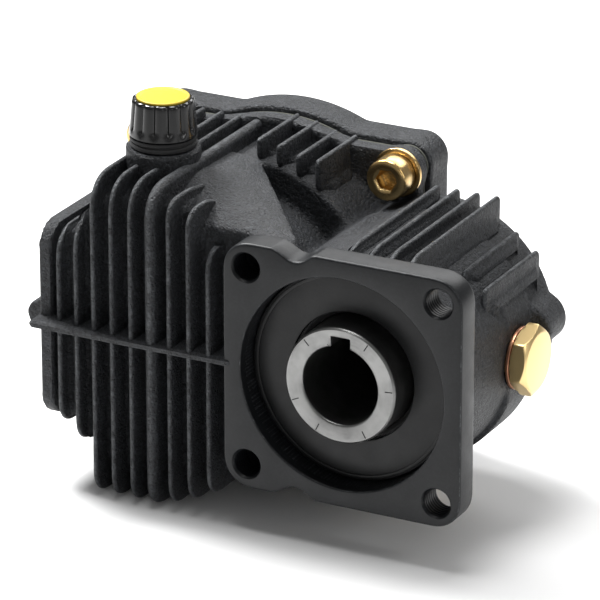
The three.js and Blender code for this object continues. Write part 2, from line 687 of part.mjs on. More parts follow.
function fillerCap() {
  const sealTop = filler.bossTop + clearance + capSeal.thickness;
  const bottom = sealTop + clearance;
  const top = bottom + cap.height;
  let grip = turnedZ([[0, bottom], [cap.bottomRadius, bottom], [cap.topRadius, top], [0, top]]);
  const fluteReach = cap.bottomRadius + cap.fluteRadius - cap.fluteDepth;
  const flute = turnedZ(diskProfile(cap.fluteRadius, bottom + cap.skirt, top + runOut), 0, 0, fluteFacets);
  for (let i = 0; i < cap.flutes; i++) {
    const angle = (i * 2 * Math.PI) / cap.flutes;
    grip = grip.subtract(flute.translate([fluteReach * Math.cos(angle), fluteReach * Math.sin(angle), 0]));
  }
  const stemBottom = filler.bossTop - filler.stemLength;
  const stem = turnedZ(diskProfile(filler.stem, stemBottom, bottom + runOut));
  const seat = turnedZ(diskProfile(capDisc.radius + clearance, top - capDisc.sunk, top + runOut));
  const stickHole = turnedZ(diskProfile(dipstick.radius + clearance, stemBottom - runOut, filler.bossTop));
  const discFrom = top - capDisc.sunk + clearance;
  const disc = turnedZ(diskProfile(capDisc.radius, discFrom, discFrom + capDisc.thickness));
  const stick = turnedZ(diskProfile(dipstick.radius, dipstick.bottomZ, filler.bossTop - clearance));
  const neckSeal = ringProfile(filler.stem + clearance, capSeal.outside, filler.bossTop + clearance, sealTop);
  const group = new THREE.Group();
  group.add(
    piece("filler_cap", grip.add(stem).subtract(seat).subtract(stickHole), blackPlastic),
    piece("filler_cap_disc", disc, yellowPlastic),
    piece("dipstick", stick, groundSteel),
    piece("filler_cap_seal", turnedZ(neckSeal), blackRubber));
  group.position.set(filler.x, filler.y, 0);
  return group;
}

// ---- Input line: pinion shaft, bearings and seal -----------------------------------------------

function keyway(width, top, fromY, toY) {
  return block([-width / 2, fromY, 0], [width / 2, toY, top]);
}

function pinionShaft() {
  const noseY = -noseStandOut;
  const endY = rearBearingBackY;
  const teethFrontY = gearFrontY - pinionExtraWidth / 2;
  const teethBackY = teethFrontY + faceWidth + pinionExtraWidth;
  const root = rootOf(pinionTeeth);
  const blank = turned([
    [0, noseY], [noseRadius, noseY], [noseRadius, frontBearingY], [frontJournalRadius, frontBearingY],
    [frontJournalRadius, frontBearingBackY], [noseRadius, frontBearingBackY],
    [noseRadius, teethFrontY - 3 * shoulderRun], [root, teethFrontY - shoulderRun], [root, teethBackY],
    [rearJournalRadius, teethBackY + shoulderRun],
    [rearJournalRadius, endY], [0, endY],
  ]);
  const halfPitchTurn = Math.PI / pinionTeeth;
  const teeth = extrudeY(gearOutline(pinionTeeth, halfPitchTurn), teethFrontY, teethBackY);
  const mouth = engineBore + boreChamfer + runOut;
  const bore = turned([
    [0, noseY - runOut], [mouth, noseY - runOut], [engineBore, noseY + boreChamfer],
    [engineBore, endY - boreChamfer], [mouth, endY + runOut], [0, endY + runOut],
  ]);
  const slot = keyway(engineKeyWidth, engineBore + engineKeyDepth, noseY - runOut, endY + runOut);
  return piece("pinion_shaft", blank.add(teeth).subtract(bore).subtract(slot), turnedSteel);
}

function inputLine() {
  const group = new THREE.Group();
  const coverBackY = recessDepth + sealCoverLength;
  const outside = pilotRadius - clearance;
  const cover = turned([
    [coverHoleRadius, recessDepth], [outside, recessDepth], [outside, coverBackY],
    [frontSealRadius + clearance, coverBackY], [frontSealRadius + clearance, recessDepth + coverLip],
    [coverHoleRadius, recessDepth + coverLip],
  ]);
  const seal = tube(
    noseRadius + clearance, frontSealRadius, recessDepth + coverLip + clearance, coverBackY - clearance);
  group.add(
    pinionShaft(),
    piece("front_seal_cover", cover, blackCasting),
    piece("front_oil_seal", seal, blackRubber),
    ...bearing("pinion_front_bearing", bigBearing, frontBearingY),
    ...bearing("pinion_rear_bearing", thinBearing, rearBearingY));
  return group;
}

// ---- Output line: gear wheel, hollow shaft, bearings and seal ----------------------------------

function outputShaft() {
  const journalBackY = outputFrontY + outputBearing.width;
  const endY = sealBoreBackY;
  const blank = turned([
    [0, outputFrontY], [outputJournalRadius, outputFrontY], [outputJournalRadius, journalBackY],
    [wheelSeatRadius, journalBackY + clearance], [wheelSeatRadius, gearBackY + shoulderRun],
    [outputJournalRadius, gearBackY + shoulderRun], [outputJournalRadius, endY], [0, endY],
  ]);
  const bore = rod(pumpBore, outputFrontY + blindEnd, endY + runOut);
  const slot = keyway(pumpKeyWidth, pumpBore + pumpKeyDepth, outputFrontY + blindEnd, endY + runOut);
  const { width, height, length } = wheelKey;
  const bed = wheelSeatRadius - height / 2 - clearance;
  const middleY = gearFrontY + faceWidth / 2;
  const pocket = block(
    [-width / 2 - clearance, middleY - length / 2 - clearance, -wheelSeatRadius - runOut],
    [width / 2 + clearance, middleY + length / 2 + clearance, -bed]);
  return piece("output_shaft", blank.subtract(bore).subtract(slot).subtract(pocket), turnedSteel);
}

function gearWheel() {
  const teeth = extrudeY(gearOutline(wheelTeeth, 0), gearFrontY, gearBackY);
  const bore = rod(wheelSeatRadius + clearance, gearFrontY - runOut, gearBackY + runOut, 0, 0);
  const webDepth = faceWidth / 4;
  const hub = wheelSeatRadius + hubWall;
  const rimInside = rootOf(wheelTeeth) - rimWall;
  const frontDish = tube(hub, rimInside, gearFrontY - runOut, gearFrontY + webDepth);
  const backDish = tube(hub, rimInside, gearBackY - webDepth, gearBackY + runOut);
  const { width, height } = wheelKey;
  const slotBottom = -wheelSeatRadius - height / 2 - clearance;
  const slot = block(
    [-width / 2 - clearance, gearFrontY - runOut, slotBottom],
    [width / 2 + clearance, gearBackY + runOut, 0]);
  const cutOuts = union(bore, frontDish, backDish, slot);
  return piece("gear_wheel", teeth.subtract(cutOuts), gearSteel);
}

function wheelKeyPiece() {
  const { width, height, length } = wheelKey;
  const middleY = gearFrontY + faceWidth / 2;
  return piece("wheel_key", block(
    [-width / 2, middleY - length / 2, -wheelSeatRadius - height / 2],
    [width / 2, middleY + length / 2, -wheelSeatRadius + height / 2]), gearSteel);
}

function outputLine() {
  const group = new THREE.Group();
  const sealFrontY = sealBoreBackY - clearance - rearSealWidth;
  const seal = tube(
    outputJournalRadius + clearance, rearSealRadius, sealFrontY, sealFrontY + rearSealWidth);
  group.add(
    outputShaft(), gearWheel(), wheelKeyPiece(),
    piece("rear_oil_seal", seal, blackRubber),
    ...bearing("output_front_bearing", outputBearing, outputFrontY),
    ...bearing("output_rear_bearing", outputBearing, outputRearBearingY));
  group.position.x = outputX;
  return group;
}

// ---- The gearbox -------------------------------------------------------------------------------

const product = new THREE.Group();
product.add(
  gearCasing(), rearFlange(), casingGasket(), ...flangeFasteners(), ...locatingDowels(),
  ...plugs(), fillerCap(), inputLine(), outputLine());

// The part's own origin is the middle of its base.
const extent = new THREE.Box3().setFromObject(product);
const middle = extent.getCenter(new THREE.Vector3());
product.position.set(-middle.x, -middle.y, -extent.min.z);

const group = new THREE.Group();
group.add(product);

export default group;
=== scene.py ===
"""The looks of a finned reduction gearbox for a pressure washer pump.

Sizes are in millimetres from the gearbox's datum, which is the pinion shaft's axis on the front
flange's face: +X to the right, +Y to the back, +Z up. They become metres when a mesh is made.
"""
import logging
import math
from collections.abc import Callable, Sequence
from dataclasses import dataclass
from enum import Enum

import bmesh
import bpy
import numpy as np
from mathutils import Matrix, Vector
from mathutils.geometry import delaunay_2d_cdt


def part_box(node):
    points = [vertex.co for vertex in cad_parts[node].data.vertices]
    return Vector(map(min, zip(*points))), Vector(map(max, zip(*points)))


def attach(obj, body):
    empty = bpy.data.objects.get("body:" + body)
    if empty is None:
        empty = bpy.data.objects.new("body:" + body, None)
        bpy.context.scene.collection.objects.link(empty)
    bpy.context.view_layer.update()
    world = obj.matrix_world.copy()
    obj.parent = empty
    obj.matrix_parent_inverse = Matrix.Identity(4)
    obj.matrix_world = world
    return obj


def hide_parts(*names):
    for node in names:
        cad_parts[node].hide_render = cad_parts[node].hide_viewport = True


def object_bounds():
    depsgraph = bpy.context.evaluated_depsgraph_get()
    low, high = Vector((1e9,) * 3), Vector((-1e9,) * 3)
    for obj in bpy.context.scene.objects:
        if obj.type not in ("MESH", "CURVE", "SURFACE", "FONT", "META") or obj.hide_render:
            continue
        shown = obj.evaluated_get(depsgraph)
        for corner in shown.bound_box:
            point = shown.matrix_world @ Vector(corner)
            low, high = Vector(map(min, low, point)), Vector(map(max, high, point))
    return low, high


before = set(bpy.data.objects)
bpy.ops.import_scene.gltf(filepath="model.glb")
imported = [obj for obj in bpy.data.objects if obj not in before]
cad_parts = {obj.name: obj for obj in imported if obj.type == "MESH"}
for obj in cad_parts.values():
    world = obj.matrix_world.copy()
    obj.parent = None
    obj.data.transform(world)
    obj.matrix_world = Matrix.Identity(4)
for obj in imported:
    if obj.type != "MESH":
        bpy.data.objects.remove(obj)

LOG = logging.getLogger("gearbox")
CAD_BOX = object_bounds()
MM = 0.001
TAU = 2 * math.pi
Array = np.ndarray

# The datum in the frame: the seal cover is centred on it, 8 mm behind it.
COVER_LOW, COVER_HIGH = (np.array(corner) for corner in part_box("front_seal_cover"))
DATUM = np.array([(COVER_LOW[0] + COVER_HIGH[0]) / 2, COVER_LOW[1] - 8 * MM,
                  (COVER_LOW[2] + COVER_HIGH[2]) / 2])
OUTPUT_X = -59.0
SCREW_REACH = 43.0
BOLT_REACH = 32.55
DRUM_RADIUS = 47.0
TUNNEL_RADIUS = 36.5
HOUSING_RADIUS = 38.0
FILLER = (-77.0, 29.6)
LEVEL_SEAT = (37.0, 47.6, -1.1)
DRAIN_SEAT = (0.0, 47.6, -39.0)
FOUR_CORNERS = ((1, 1), (-1, 1), (-1, -1), (1, -1))


class Axis(Enum):
    """The direction that a turned shape runs along, with the two directions across it."""

    X = (1, 2, 0)
    Y = (2, 0, 1)
    Z = (0, 1, 2)


class Body(Enum):
    """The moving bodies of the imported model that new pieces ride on."""

    CASING = "casing"
    PINION = "pinion"
    WHEEL = "wheel"
    CAP = "cap"
    CAP_SEAL = "cap_seal"


# ---- Meshes ------------------------------------------------------------------------------------


@dataclass
class Shell:
    """One closed surface: its points, its faces and how worn each point is; the same amount also
    places painted edge highlights.
    """

    points: Array
    faces: list[Array]
    wear_and_highlight: Array

    def moved(self, x: float = 0.0, y: float = 0.0, z: float = 0.0) -> "Shell":
        """Returns the same surface somewhere else."""
        return Shell(self.points + np.array([x, y, z]), self.faces, self.wear_and_highlight)


def joined(shells: Sequence[Shell]) -> Shell:
    """Puts several surfaces into one.

    Args:
        shells: The surfaces, which stay apart from each other.

    Returns:
        One surface that holds them all.
    """
    starts = np.cumsum([0] + [len(shell.points) for shell in shells])
    faces = [group + start for shell, start in zip(shells, starts) for group in shell.faces]
    return Shell(np.concatenate([shell.points for shell in shells]), faces,
                 np.concatenate([shell.wear_and_highlight for shell in shells]))


def grid_faces(rows: int, columns: int, close_rows: bool, close_columns: bool) -> Array:
    """Quads of a grid whose point (i, j) has the number i * columns + j.

    Args:
        rows: How many rows of points there are.
        columns: How many points each row has.
        close_rows: Whether the last row joins the first.
        close_columns: Whether each row's last point joins its first.

    Returns:
        The quads, one to a line.
    """
    i = np.arange(rows if close_rows else rows - 1)[:, None]
    j = np.arange(columns if close_columns else columns - 1)[None, :]
    below, beside = (i + 1) % rows, (j + 1) % columns
    corners = (i * columns + j, i * columns + beside, below * columns + beside, below * columns + j)
    return np.stack([np.broadcast_to(c, (i.size, j.size)).ravel() for c in corners], axis=1)


def rounded(profile: Sequence[tuple[float, float]], radius: float, steps: int = 4) -> Array:
    """An open line of points with its inner corners rounded.

    A corner P between unit directions u (back) and v (on) becomes the curve
    P + r (u (1-t)^2 + v t^2) for t from 0 to 1, where r is held to half of the shorter side.

    Args:
        profile: The line's corners.
        radius: How far from each corner the rounding starts.
        steps: How many points each corner gets.

    Returns:
        The points of the rounded line.
    """
    corners = np.array(profile, float)
    t = np.linspace(0, 1, steps)[:, None]
    out = [corners[:1]]
    for before, here, after in zip(corners, corners[1:], corners[2:]):
        back, on = before - here, after - here
        r = min(radius, np.linalg.norm(back) / 2, np.linalg.norm(on) / 2)
        back, on = back / np.linalg.norm(back), on / np.linalg.norm(on)
        out.append(here + r * (back * (1 - t) ** 2 + on * t ** 2))
    return np.concatenate(out + [corners[-1:]])


def polar(radii: Array, along: Array, axis: Axis = Axis.Y, closed: bool = False, turn: float = 0.0,
          wear_and_highlight: Array | float = 0.0) -> Shell:
    """A surface of rings: point (i, j) lies at angle 2 pi j / columns and distance radii[i, j].

    Args:
        radii: Distance from the axis, for each ring and each angle.
        along: Place on the axis, for each ring and each angle.
        axis: The direction that the rings are stacked along.
        closed: Whether the last ring joins the first, as in a tube.
        turn: The angle of the first column.
        wear_and_highlight: How worn each ring is.

    Returns:
        The surface. A ring of radius zero closes an end.
    """
    angle = turn + TAU * np.arange(radii.shape[1]) / radii.shape[1]
    points = np.empty(radii.shape + (3,))
    first, second, third = axis.value
    points[..., first] = radii * np.cos(angle)
    points[..., second] = radii * np.sin(angle)
    points[..., third] = along
    worn_and_highlit = np.broadcast_to(np.asarray(wear_and_highlight, float).reshape(-1, 1), radii.shape)
    faces = [grid_faces(*radii.shape, closed, True)]
    return Shell(points.reshape(-1, 3), faces, worn_and_highlit.ravel().copy())


def turned(profile: Sequence[tuple[float, float]] | Array, axis: Axis = Axis.Y, columns: int = 96,
           edge: float = 0.4, closed: bool = False, wear_and_highlight: Array | float = 0.0) -> Shell:
    """A profile of (radius, place on the axis) carried round an axis, with its corners rounded.

    Args:
        profile: The corners of the profile.
        axis: The axis that it turns round.
        columns: How many steps make a full turn.
        edge: How far from a corner its rounding starts.
        closed: Whether the profile closes on itself, as in a tube.
        wear_and_highlight: How worn the surface is.

    Returns:
        The surface.
    """
    if closed:
        corners = list(map(tuple, profile))
        start = tuple((np.array(corners[0]) + np.array(corners[1])) / 2)
        line = rounded([start] + corners[1:] + corners[:1] + [start], edge)[:-1]
    else:
        line = rounded(profile, edge)
    radii = np.repeat(line[:, :1], columns, axis=1)
    along = np.repeat(line[:, 1:], columns, axis=1)
    return polar(radii, along, axis, closed, wear_and_highlight=wear_and_highlight)


@dataclass
class Loop:
    """An edge of a plate: the outside, or a hole. The profile gives (inset, place in Y) from the
    front to the back, where a positive inset moves the wall into the metal."""

    outline: Array
    profile: Array
    hole: bool = False
    opens_front: bool = True
    opens_back: bool = True
    wear_and_highlight: Array | float = 0.0


def ring_outline(radius: float, x: float = 0.0, z: float = 0.0, columns: int = 96) -> Array:
    """A circle's points in (X, Z): centre + radius (cos a, sin a)."""
    angle = TAU * np.arange(columns) / columns
    return np.stack([x + radius * np.cos(angle), z + radius * np.sin(angle)], axis=1)


def keyed_outline(radius: float, width: float, depth: float, columns: int = 128) -> Array:
    """A bore with a square keyway at its top.

    Args:
        radius: The bore's radius.
        width: The keyway's width.
        depth: How far its floor lies above the bore's top.
        columns: How many points the bore has.

    Returns:
        The outline, starting at the keyway's right side.
    """
    half = math.asin(width / 2 / radius)
    angle = np.linspace(math.pi / 2 + half, math.pi / 2 - half + TAU, columns)
    bore = radius * np.stack([np.cos(angle), np.sin(angle)], axis=1)
    step = np.linspace(0, 1, 7)[1:-1, None]
    top = radius + depth
    corners = [bore[-1], np.array([width / 2, top]), np.array([-width / 2, top]), bore[0]]
    sides = [a + (b - a) * step for a, b in zip(corners, corners[1:])]
    return np.concatenate([bore, sides[0], [corners[1]], sides[1], [corners[2]], sides[2]])


def lobed_square(half: float, corner: float, lobe: float,
                 bulge: float = 0.0) -> Callable[[Array], Array]:
    """The reach of a square with a round lobe at each corner and a round bulge, by angle.

    It is the longest of: a / |cos| against b / |sin| for the two crossed oblongs, the far side of
    each lobe's circle, and the bulge's radius.

    Args:
        half: Half of the square's side.
        corner: Where the lobes' centres lie, along each axis.
        lobe: The lobes' radius.
        bulge: The radius of the round bulge.

    Returns:
        A function from angle to distance.
    """
    def reach(angle: Array) -> Array:
        """Returns the outline's distance from its centre at each angle."""
        across, up = np.abs(np.cos(angle)) + 1e-9, np.abs(np.sin(angle)) + 1e-9
        best = np.maximum(np.minimum(half / across, corner / up),
                          np.minimum(corner / across, half / up))
        middle = corner * (across + up)
        under = middle ** 2 - 2 * corner ** 2 + lobe ** 2
        best = np.where(under > 0, np.maximum(best, middle + np.sqrt(np.maximum(under, 0))), best)
        return np.maximum(best, bulge)
    return reach


def notched(reach: Callable[[Array], Array], notches: Sequence[tuple[float, float, float]],
            columns: int = 900, soften: int = 5) -> Array:
    """An outline given by its reach, with round notches cut in from outside.

    Along a ray, a notch at (x, z) of radius r starts at m - sqrt(m^2 - x^2 - z^2 + r^2), where m is
    the notch's place along the ray. The result is averaged over a few neighbours.

    Args:
        reach: Distance by angle.
        notches: The notches' centres and radii.
        columns: How many points the outline has.
        soften: How many neighbours each point is averaged over.

    Returns:
        The outline's points.
    """
    angle = TAU * np.arange(columns) / columns
    distance = reach(angle)
    for x, z, radius in notches:
        middle = x * np.cos(angle) + z * np.sin(angle)
        under = middle ** 2 - x ** 2 - z ** 2 + radius ** 2
        cut = middle - np.sqrt(np.maximum(under, 0))
        distance = np.where((under > 0) & (middle > 0), np.minimum(distance, cut), distance)
    shifts = range(-(soften // 2), soften // 2 + 1)
    distance = sum(np.roll(distance, shift) for shift in shifts) / soften
    return distance[:, None] * np.stack([np.cos(angle), np.sin(angle)], axis=1)


def outward(outline: Array) -> Array:
    """Unit normals of a closed anticlockwise outline: its tangent turned by -90 degrees."""
    tangent = np.roll(outline, -1, axis=0) - np.roll(outline, 1, axis=0)
    normal = np.stack([tangent[:, 1], -tangent[:, 0]], axis=1)
    return normal / np.maximum(np.linalg.norm(normal, axis=1, keepdims=True), 1e-9)


def filled(rings: Sequence[Array]) -> tuple[Array, Array]:
    """Fills the space inside an outline and outside its holes with triangles.

    Args:
        rings: The closed outlines. A point is inside where it is within an odd number of them.

    Returns:
        The points in the plane and the triangles.
    """
    points = np.concatenate(rings)
    edges, start = [], 0
    for ring in rings:
        number = np.arange(len(ring))
        edges.append(np.stack([number, (number + 1) % len(ring)], axis=1) + start)
        start += len(ring)
    sides = np.concatenate(edges).tolist()
    found = delaunay_2d_cdt([Vector(p) for p in points], sides, [], 0, 1e-6)
    corners = np.array([tuple(p) for p in found[0]])
    triangles = np.array([f for f in found[2] if len(f) == 3])
    centre = corners[triangles].mean(axis=1)
    odd = np.zeros(len(centre), bool)
    for ring in rings:
        a, b = ring, np.roll(ring, -1, axis=0)
        spans = (a[None, :, 1] > centre[:, None, 1]) != (b[None, :, 1] > centre[:, None, 1])
        rise = np.where(b[:, 1] == a[:, 1], 1e-12, b[:, 1] - a[:, 1])
        slope = ((b - a)[:, 0] / rise)[None]
        crossing = a[None, :, 0] + (centre[:, None, 1] - a[None, :, 1]) * slope
        odd ^= (spans & (crossing > centre[:, None, 0])).sum(axis=1) % 2 == 1
    return corners, triangles[odd]


def plate(loops: Sequence[Loop]) -> Shell:
    """A plate across Y: each loop's profile carried round its outline, and flat faces between them.

    Args:
        loops: The outside first, then the holes.

    Returns:
        The closed surface. A hole that doesn't open at one side gets a floor there.
    """
    shells, fronts, backs = [], [], []
    for loop in loops:
        normal = outward(loop.outline) * (1 if loop.hole else -1)
        profile = np.asarray(loop.profile, float)
        flat = loop.outline[None] + normal[None] * profile[:, :1, None]
        along = np.repeat(profile[:, 1:], len(loop.outline), 1)
        points = np.stack([flat[..., 0], along, flat[..., 1]], -1)
        worn_and_highlit = np.broadcast_to(np.asarray(loop.wear_and_highlight, float).reshape(-1, 1), points.shape[:2])
        faces = [grid_faces(*points.shape[:2], False, True)]
        shells.append(Shell(points.reshape(-1, 3), faces, worn_and_highlit.ravel().copy()))
        for opens, end, rings in ((loop.opens_front, 0, fronts), (loop.opens_back, -1, backs)):
            if opens:
                rings.append(flat[end])
            else:
                shells.append(flat_face([flat[end]], profile[end, 1]))
    shells.append(flat_face(fronts, loops[0].profile[0][1]))
    shells.append(flat_face(backs, loops[0].profile[-1][1]))
    return joined(shells)


def flat_face(rings: Sequence[Array], y: float) -> Shell:
    """A flat face at one place in Y, inside the first outline and outside the others."""
    corners, triangles = filled(rings)
    points = np.stack([corners[:, 0], np.full(len(corners), y), corners[:, 1]], axis=1)
    return Shell(points, [triangles], np.zeros(len(points)))


def bevelled(front: float, back: float, front_edge: float, back_edge: float) -> tuple[Array, Array]:
    """The wall of a plate with both of its edges rounded to a quarter circle.

    Args:
        front: Place of the front face.
        back: Place of the back face.
        front_edge: The front edge's radius.
        back_edge: The back edge's radius.

    Returns:
        The profile of (inset, Y), and how worn each of its points is.
    """
    t = np.linspace(0, math.pi / 2, 5)
    start = np.stack([front_edge * (1 - np.sin(t)), front + front_edge * (1 - np.cos(t))], axis=1)
    end = np.stack([back_edge * (1 - np.cos(t)), back - back_edge * (1 - np.sin(t))], axis=1)
    wear_and_highlight = np.array([0, 0.6, 1, 0.6, 0.1])
    return np.concatenate([start, end]), np.concatenate([wear_and_highlight, wear_and_highlight[::-1]])


def made(name: str, shell: Shell, body: Body, finish: "Finish", replaced: Sequence[str] = (),
         sharp: float = 35.0, merge: bool = True) -> None:
    """Makes a piece of the gearbox from its surface, and lets it ride on its body.

    Args:
        name: The piece's name.
        shell: Its surface, in millimetres from the datum.
        body: The body that it moves with.
        finish: What it is made of.
        replaced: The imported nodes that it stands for.
        sharp: The angle between faces, in degrees, past which an edge is sharp.
        merge: Whether points in the same place become one and the faces are turned outwards.
    """
    mesh = bpy.data.meshes.new(name)
    points = shell.points * MM + DATUM
    mesh.vertices.add(len(points))
    mesh.vertices.foreach_set("co", points.astype(np.float32).ravel())
    sizes = np.concatenate([np.full(len(group), group.shape[1]) for group in shell.faces])
    mesh.loops.add(int(sizes.sum()))
    corners = np.concatenate([group.ravel() for group in shell.faces])
    mesh.loops.foreach_set("vertex_index", corners.astype(np.int32))
    mesh.polygons.add(len(sizes))
    starts = np.concatenate([[0], np.cumsum(sizes)[:-1]])
    mesh.polygons.foreach_set("loop_start", starts.astype(np.int32))
    mesh.update(calc_edges=True)
    # The wear attribute marks worn edges and also where a highlight is painted on them.
    layer = mesh.attributes.new("wear_and_highlight", "FLOAT", "POINT")
    layer.data.foreach_set("value", shell.wear_and_highlight.astype(np.float32))
    if merge:
        work = bmesh.new()
        work.from_mesh(mesh)
        bmesh.ops.remove_doubles(work, verts=work.verts, dist=2e-6)
        bmesh.ops.dissolve_degenerate(work, edges=work.edges, dist=1e-7)
        bmesh.ops.recalc_face_normals(work, faces=work.faces)
        work.to_mesh(mesh)
        work.free()
    mesh.shade_smooth()
    mesh.set_sharp_from_angle(angle=math.radians(sharp))
    piece = bpy.data.objects.new(name, mesh)
    bpy.context.scene.collection.objects.link(piece)
    mesh.materials.append(finish.material())
    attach(piece, body.value)
    if replaced:
        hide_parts(*replaced)
    LOG.info("%s: %d faces on %s", name, len(mesh.polygons), body.value)


# ---- Fields for the fused casting --------------------------------------------------------------


def blend_add(a: Array, b: Array, k: float) -> Array:
    """Two solids as one with a fillet: min(a, b) - h^2 k / 4, where h = max(k - |a - b|, 0) / k."""
    h = np.maximum(k - np.abs(a - b), 0) / k
    return np.minimum(a, b) - h * h * k / 4


def blend_cut(a: Array, b: Array, k: float) -> Array:
    """The part of solid a that lies outside solid b, with its new edge rounded."""
    return -blend_add(-a, b, k)


def prism(flat: Array, y: Array, front: float, back: float, edge: float = 0.0) -> Array:
    """A flat outline's distance carried along Y.

    With w = (flat + edge, |y - middle| - half + edge), it is |max(w, 0)| + min(max(w), 0) - edge.

    Args:
        flat: Distance to the outline in the X-Z plane.
        y: The Y coordinates.
        front: Where the solid starts.
        back: Where it ends.
        edge: The radius of its edges.

    Returns:
        The solid's distance.
    """
    side = flat + edge
    end = np.abs(y - (front + back) / 2) - (back - front) / 2 + edge
    inside = np.minimum(np.maximum(side, end), 0)
    return np.hypot(np.maximum(side, 0), np.maximum(end, 0)) + inside - edge


def oblong(x: Array, z: Array, half_x: float, half_z: float, corner: float = 0.0) -> Array:
    """Distance to a rounded oblong round the origin, by the same rule as a prism's."""
    return prism(np.abs(x) - half_x, z, -half_z, half_z, corner)


def outline_distance(x: Array, z: Array, corners: Sequence[tuple[float, float]]) -> Array:
    """Distance to a convex outline: the largest distance to one of its sides' lines."""
    points = np.array(corners)
    worst = None
    for (ax, az), (bx, bz) in zip(points, np.roll(points, -1, axis=0)):
        length = math.hypot(bx - ax, bz - az)
        side = ((x - ax) * (az - bz) + (z - az) * (bx - ax)) / length
        worst = side if worst is None else np.maximum(worst, side)
    return worst


def surface_net(distance: Callable[[Array, Array, Array], Array], low: Sequence[float],
                high: Sequence[float], pitch: float) -> Shell:
    """The surface where a field is zero, as a net of quads.

    Each grid cell that the surface passes through gets one point, the mean of the places where the
    surface crosses the cell's edges. A grid edge that crosses the surface gives one quad, between
    the points of the four cells round it. The points are then moved onto the surface along the
    field's gradient g: p - f g / |g|^2, three times. How sharply the surface bends outwards, from
    the field's second differences, gives the wear.

    Args:
        distance: The field, negative inside the solid.
        low: The grid's lowest corner.
        high: Its highest corner.
        pitch: The grid's pitch.

    Returns:
        The surface, with its faces outwards.
    """
    ticks = [np.arange(a, b + pitch, pitch) for a, b in zip(low, high)]
    value = distance(ticks[0][:, None, None], ticks[1][None, :, None], ticks[2][None, None, :])
    cells = tuple(n - 1 for n in value.shape)
    total, count = np.zeros(cells + (3,)), np.zeros(cells)
    crossings = []
    for axis in range(3):
        u, v = (axis + 1) % 3, (axis + 2) % 3
        a = np.take(value, range(cells[axis]), axis)
        b = np.take(value, range(1, cells[axis] + 1), axis)
        cross = (a < 0) != (b < 0)
        t = np.where(cross, a / np.where(a == b, 1, a - b), 0)
        for du in (0, 1):
            for dv in (0, 1):
                part = [slice(None)] * 3
                part[u], part[v] = slice(du, cells[u] + du), slice(dv, cells[v] + dv)
                hit = cross[tuple(part)]
                count += hit
                total[..., axis] += t[tuple(part)]
                total[..., u] += du * hit
                total[..., v] += dv * hit
        crossings.append((axis, u, v, a, cross))
    used = count > 0
    number = np.full(cells, -1, np.int64)
    number[used] = np.arange(used.sum())
    points = total[used] / count[used][:, None] + np.argwhere(used)
    points = points * pitch + np.array([t[0] for t in ticks])
    quads = []
    for axis, u, v, a, cross in crossings:
        place = np.argwhere(cross)
        inner = (place[:, (u, v)] > 0) & (place[:, (u, v)] < (cells[u], cells[v]))
        place = place[inner.all(axis=1)]
        inside_first = a[tuple(place.T)] < 0
        corners = []
        for du, dv in ((-1, -1), (0, -1), (0, 0), (-1, 0)):
            cell = place.copy()
            cell[:, u] += du
            cell[:, v] += dv
            corners.append(number[tuple(cell.T)])
        quad = np.stack(corners, axis=1)
        quad[~inside_first] = quad[~inside_first][:, ::-1]
        quads.append(quad)
    step = 0.05
    for _ in range(3):
        here = distance(*points.T)
        slope = np.stack([distance(*(points + step * e).T) - distance(*(points - step * e).T)
                          for e in np.eye(3)], axis=1) / (2 * step)
        move = here[:, None] * slope / np.maximum((slope ** 2).sum(axis=1, keepdims=True), 0.25)
        points -= np.clip(move, -0.6 * pitch, 0.6 * pitch)
    probe = 0.6
    around = sum(distance(*(points + sign * probe * e).T) for e in np.eye(3) for sign in (1, -1))
    bend = (around - 6 * distance(*points.T)) / probe ** 2
    # Outward bends get wear, which also places painted edge highlights.
    return Shell(points, [np.concatenate(quads)], np.clip((bend - 0.25) / 1.2, 0, 1))


# ---- Shader groups -----------------------------------------------------------------------------


class Wiring:
    """Adds nodes to one node tree and joins their sockets."""

    def __init__(self, tree: bpy.types.NodeTree) -> None:
        """Starts on a tree that the nodes go into."""
        self.tree = tree

    def add(self, kind: str, inputs: dict | None = None, **settings: object) -> bpy.types.Node:
        """Adds a node.

        Args:
            kind: The node's type, without its "ShaderNode" or "NodeGroup" start.
            inputs: Values or other nodes' sockets, by socket name or number.
            settings: The node's own settings.

        Returns:
            The new node.
        """
        node = self.tree.nodes.new(kind if kind.startswith("NodeGroup") else "ShaderNode" + kind)
        for name, value in settings.items():
            setattr(node, name, value)
        for key, value in (inputs or {}).items():
            if isinstance(value, bpy.types.NodeSocket):
                self.tree.links.new(value, node.inputs[key])
            else:
                node.inputs[key].default_value = value
        return node

    def noise(self, where: bpy.types.NodeSocket, scale: float, detail: float = 3.0,
              rough: float = 0.55) -> bpy.types.NodeSocket:
        """Returns a noise's value; the scale is in lumps to the metre."""
        return self.add("TexNoise", {"Vector": where, "Scale": scale, "Detail": detail,
                                     "Roughness": rough}).outputs[0]

    def ramp(self, value: bpy.types.NodeSocket, low: float, high: float, start: float = 0.0,
             end: float = 1.0) -> bpy.types.NodeSocket:
        """Returns a value moved from low..high to start..end, held at both ends."""
        return self.add("MapRange", {"Value": value, "From Min": low, "From Max": high,
                                     "To Min": start, "To Max": end}).outputs[0]

    def math(self, operation: str, *values: object) -> bpy.types.NodeSocket:
        """Returns the result of a sum or other operation."""
        return self.add("Math", dict(enumerate(values)), operation=operation).outputs[0]

    def mix(self, amount: object, first: object, second: object) -> bpy.types.NodeSocket:
        """Returns a colour between two, by an amount."""
        return self.add("Mix", {0: amount, 6: first, 7: second}, data_type="RGBA").outputs[2]


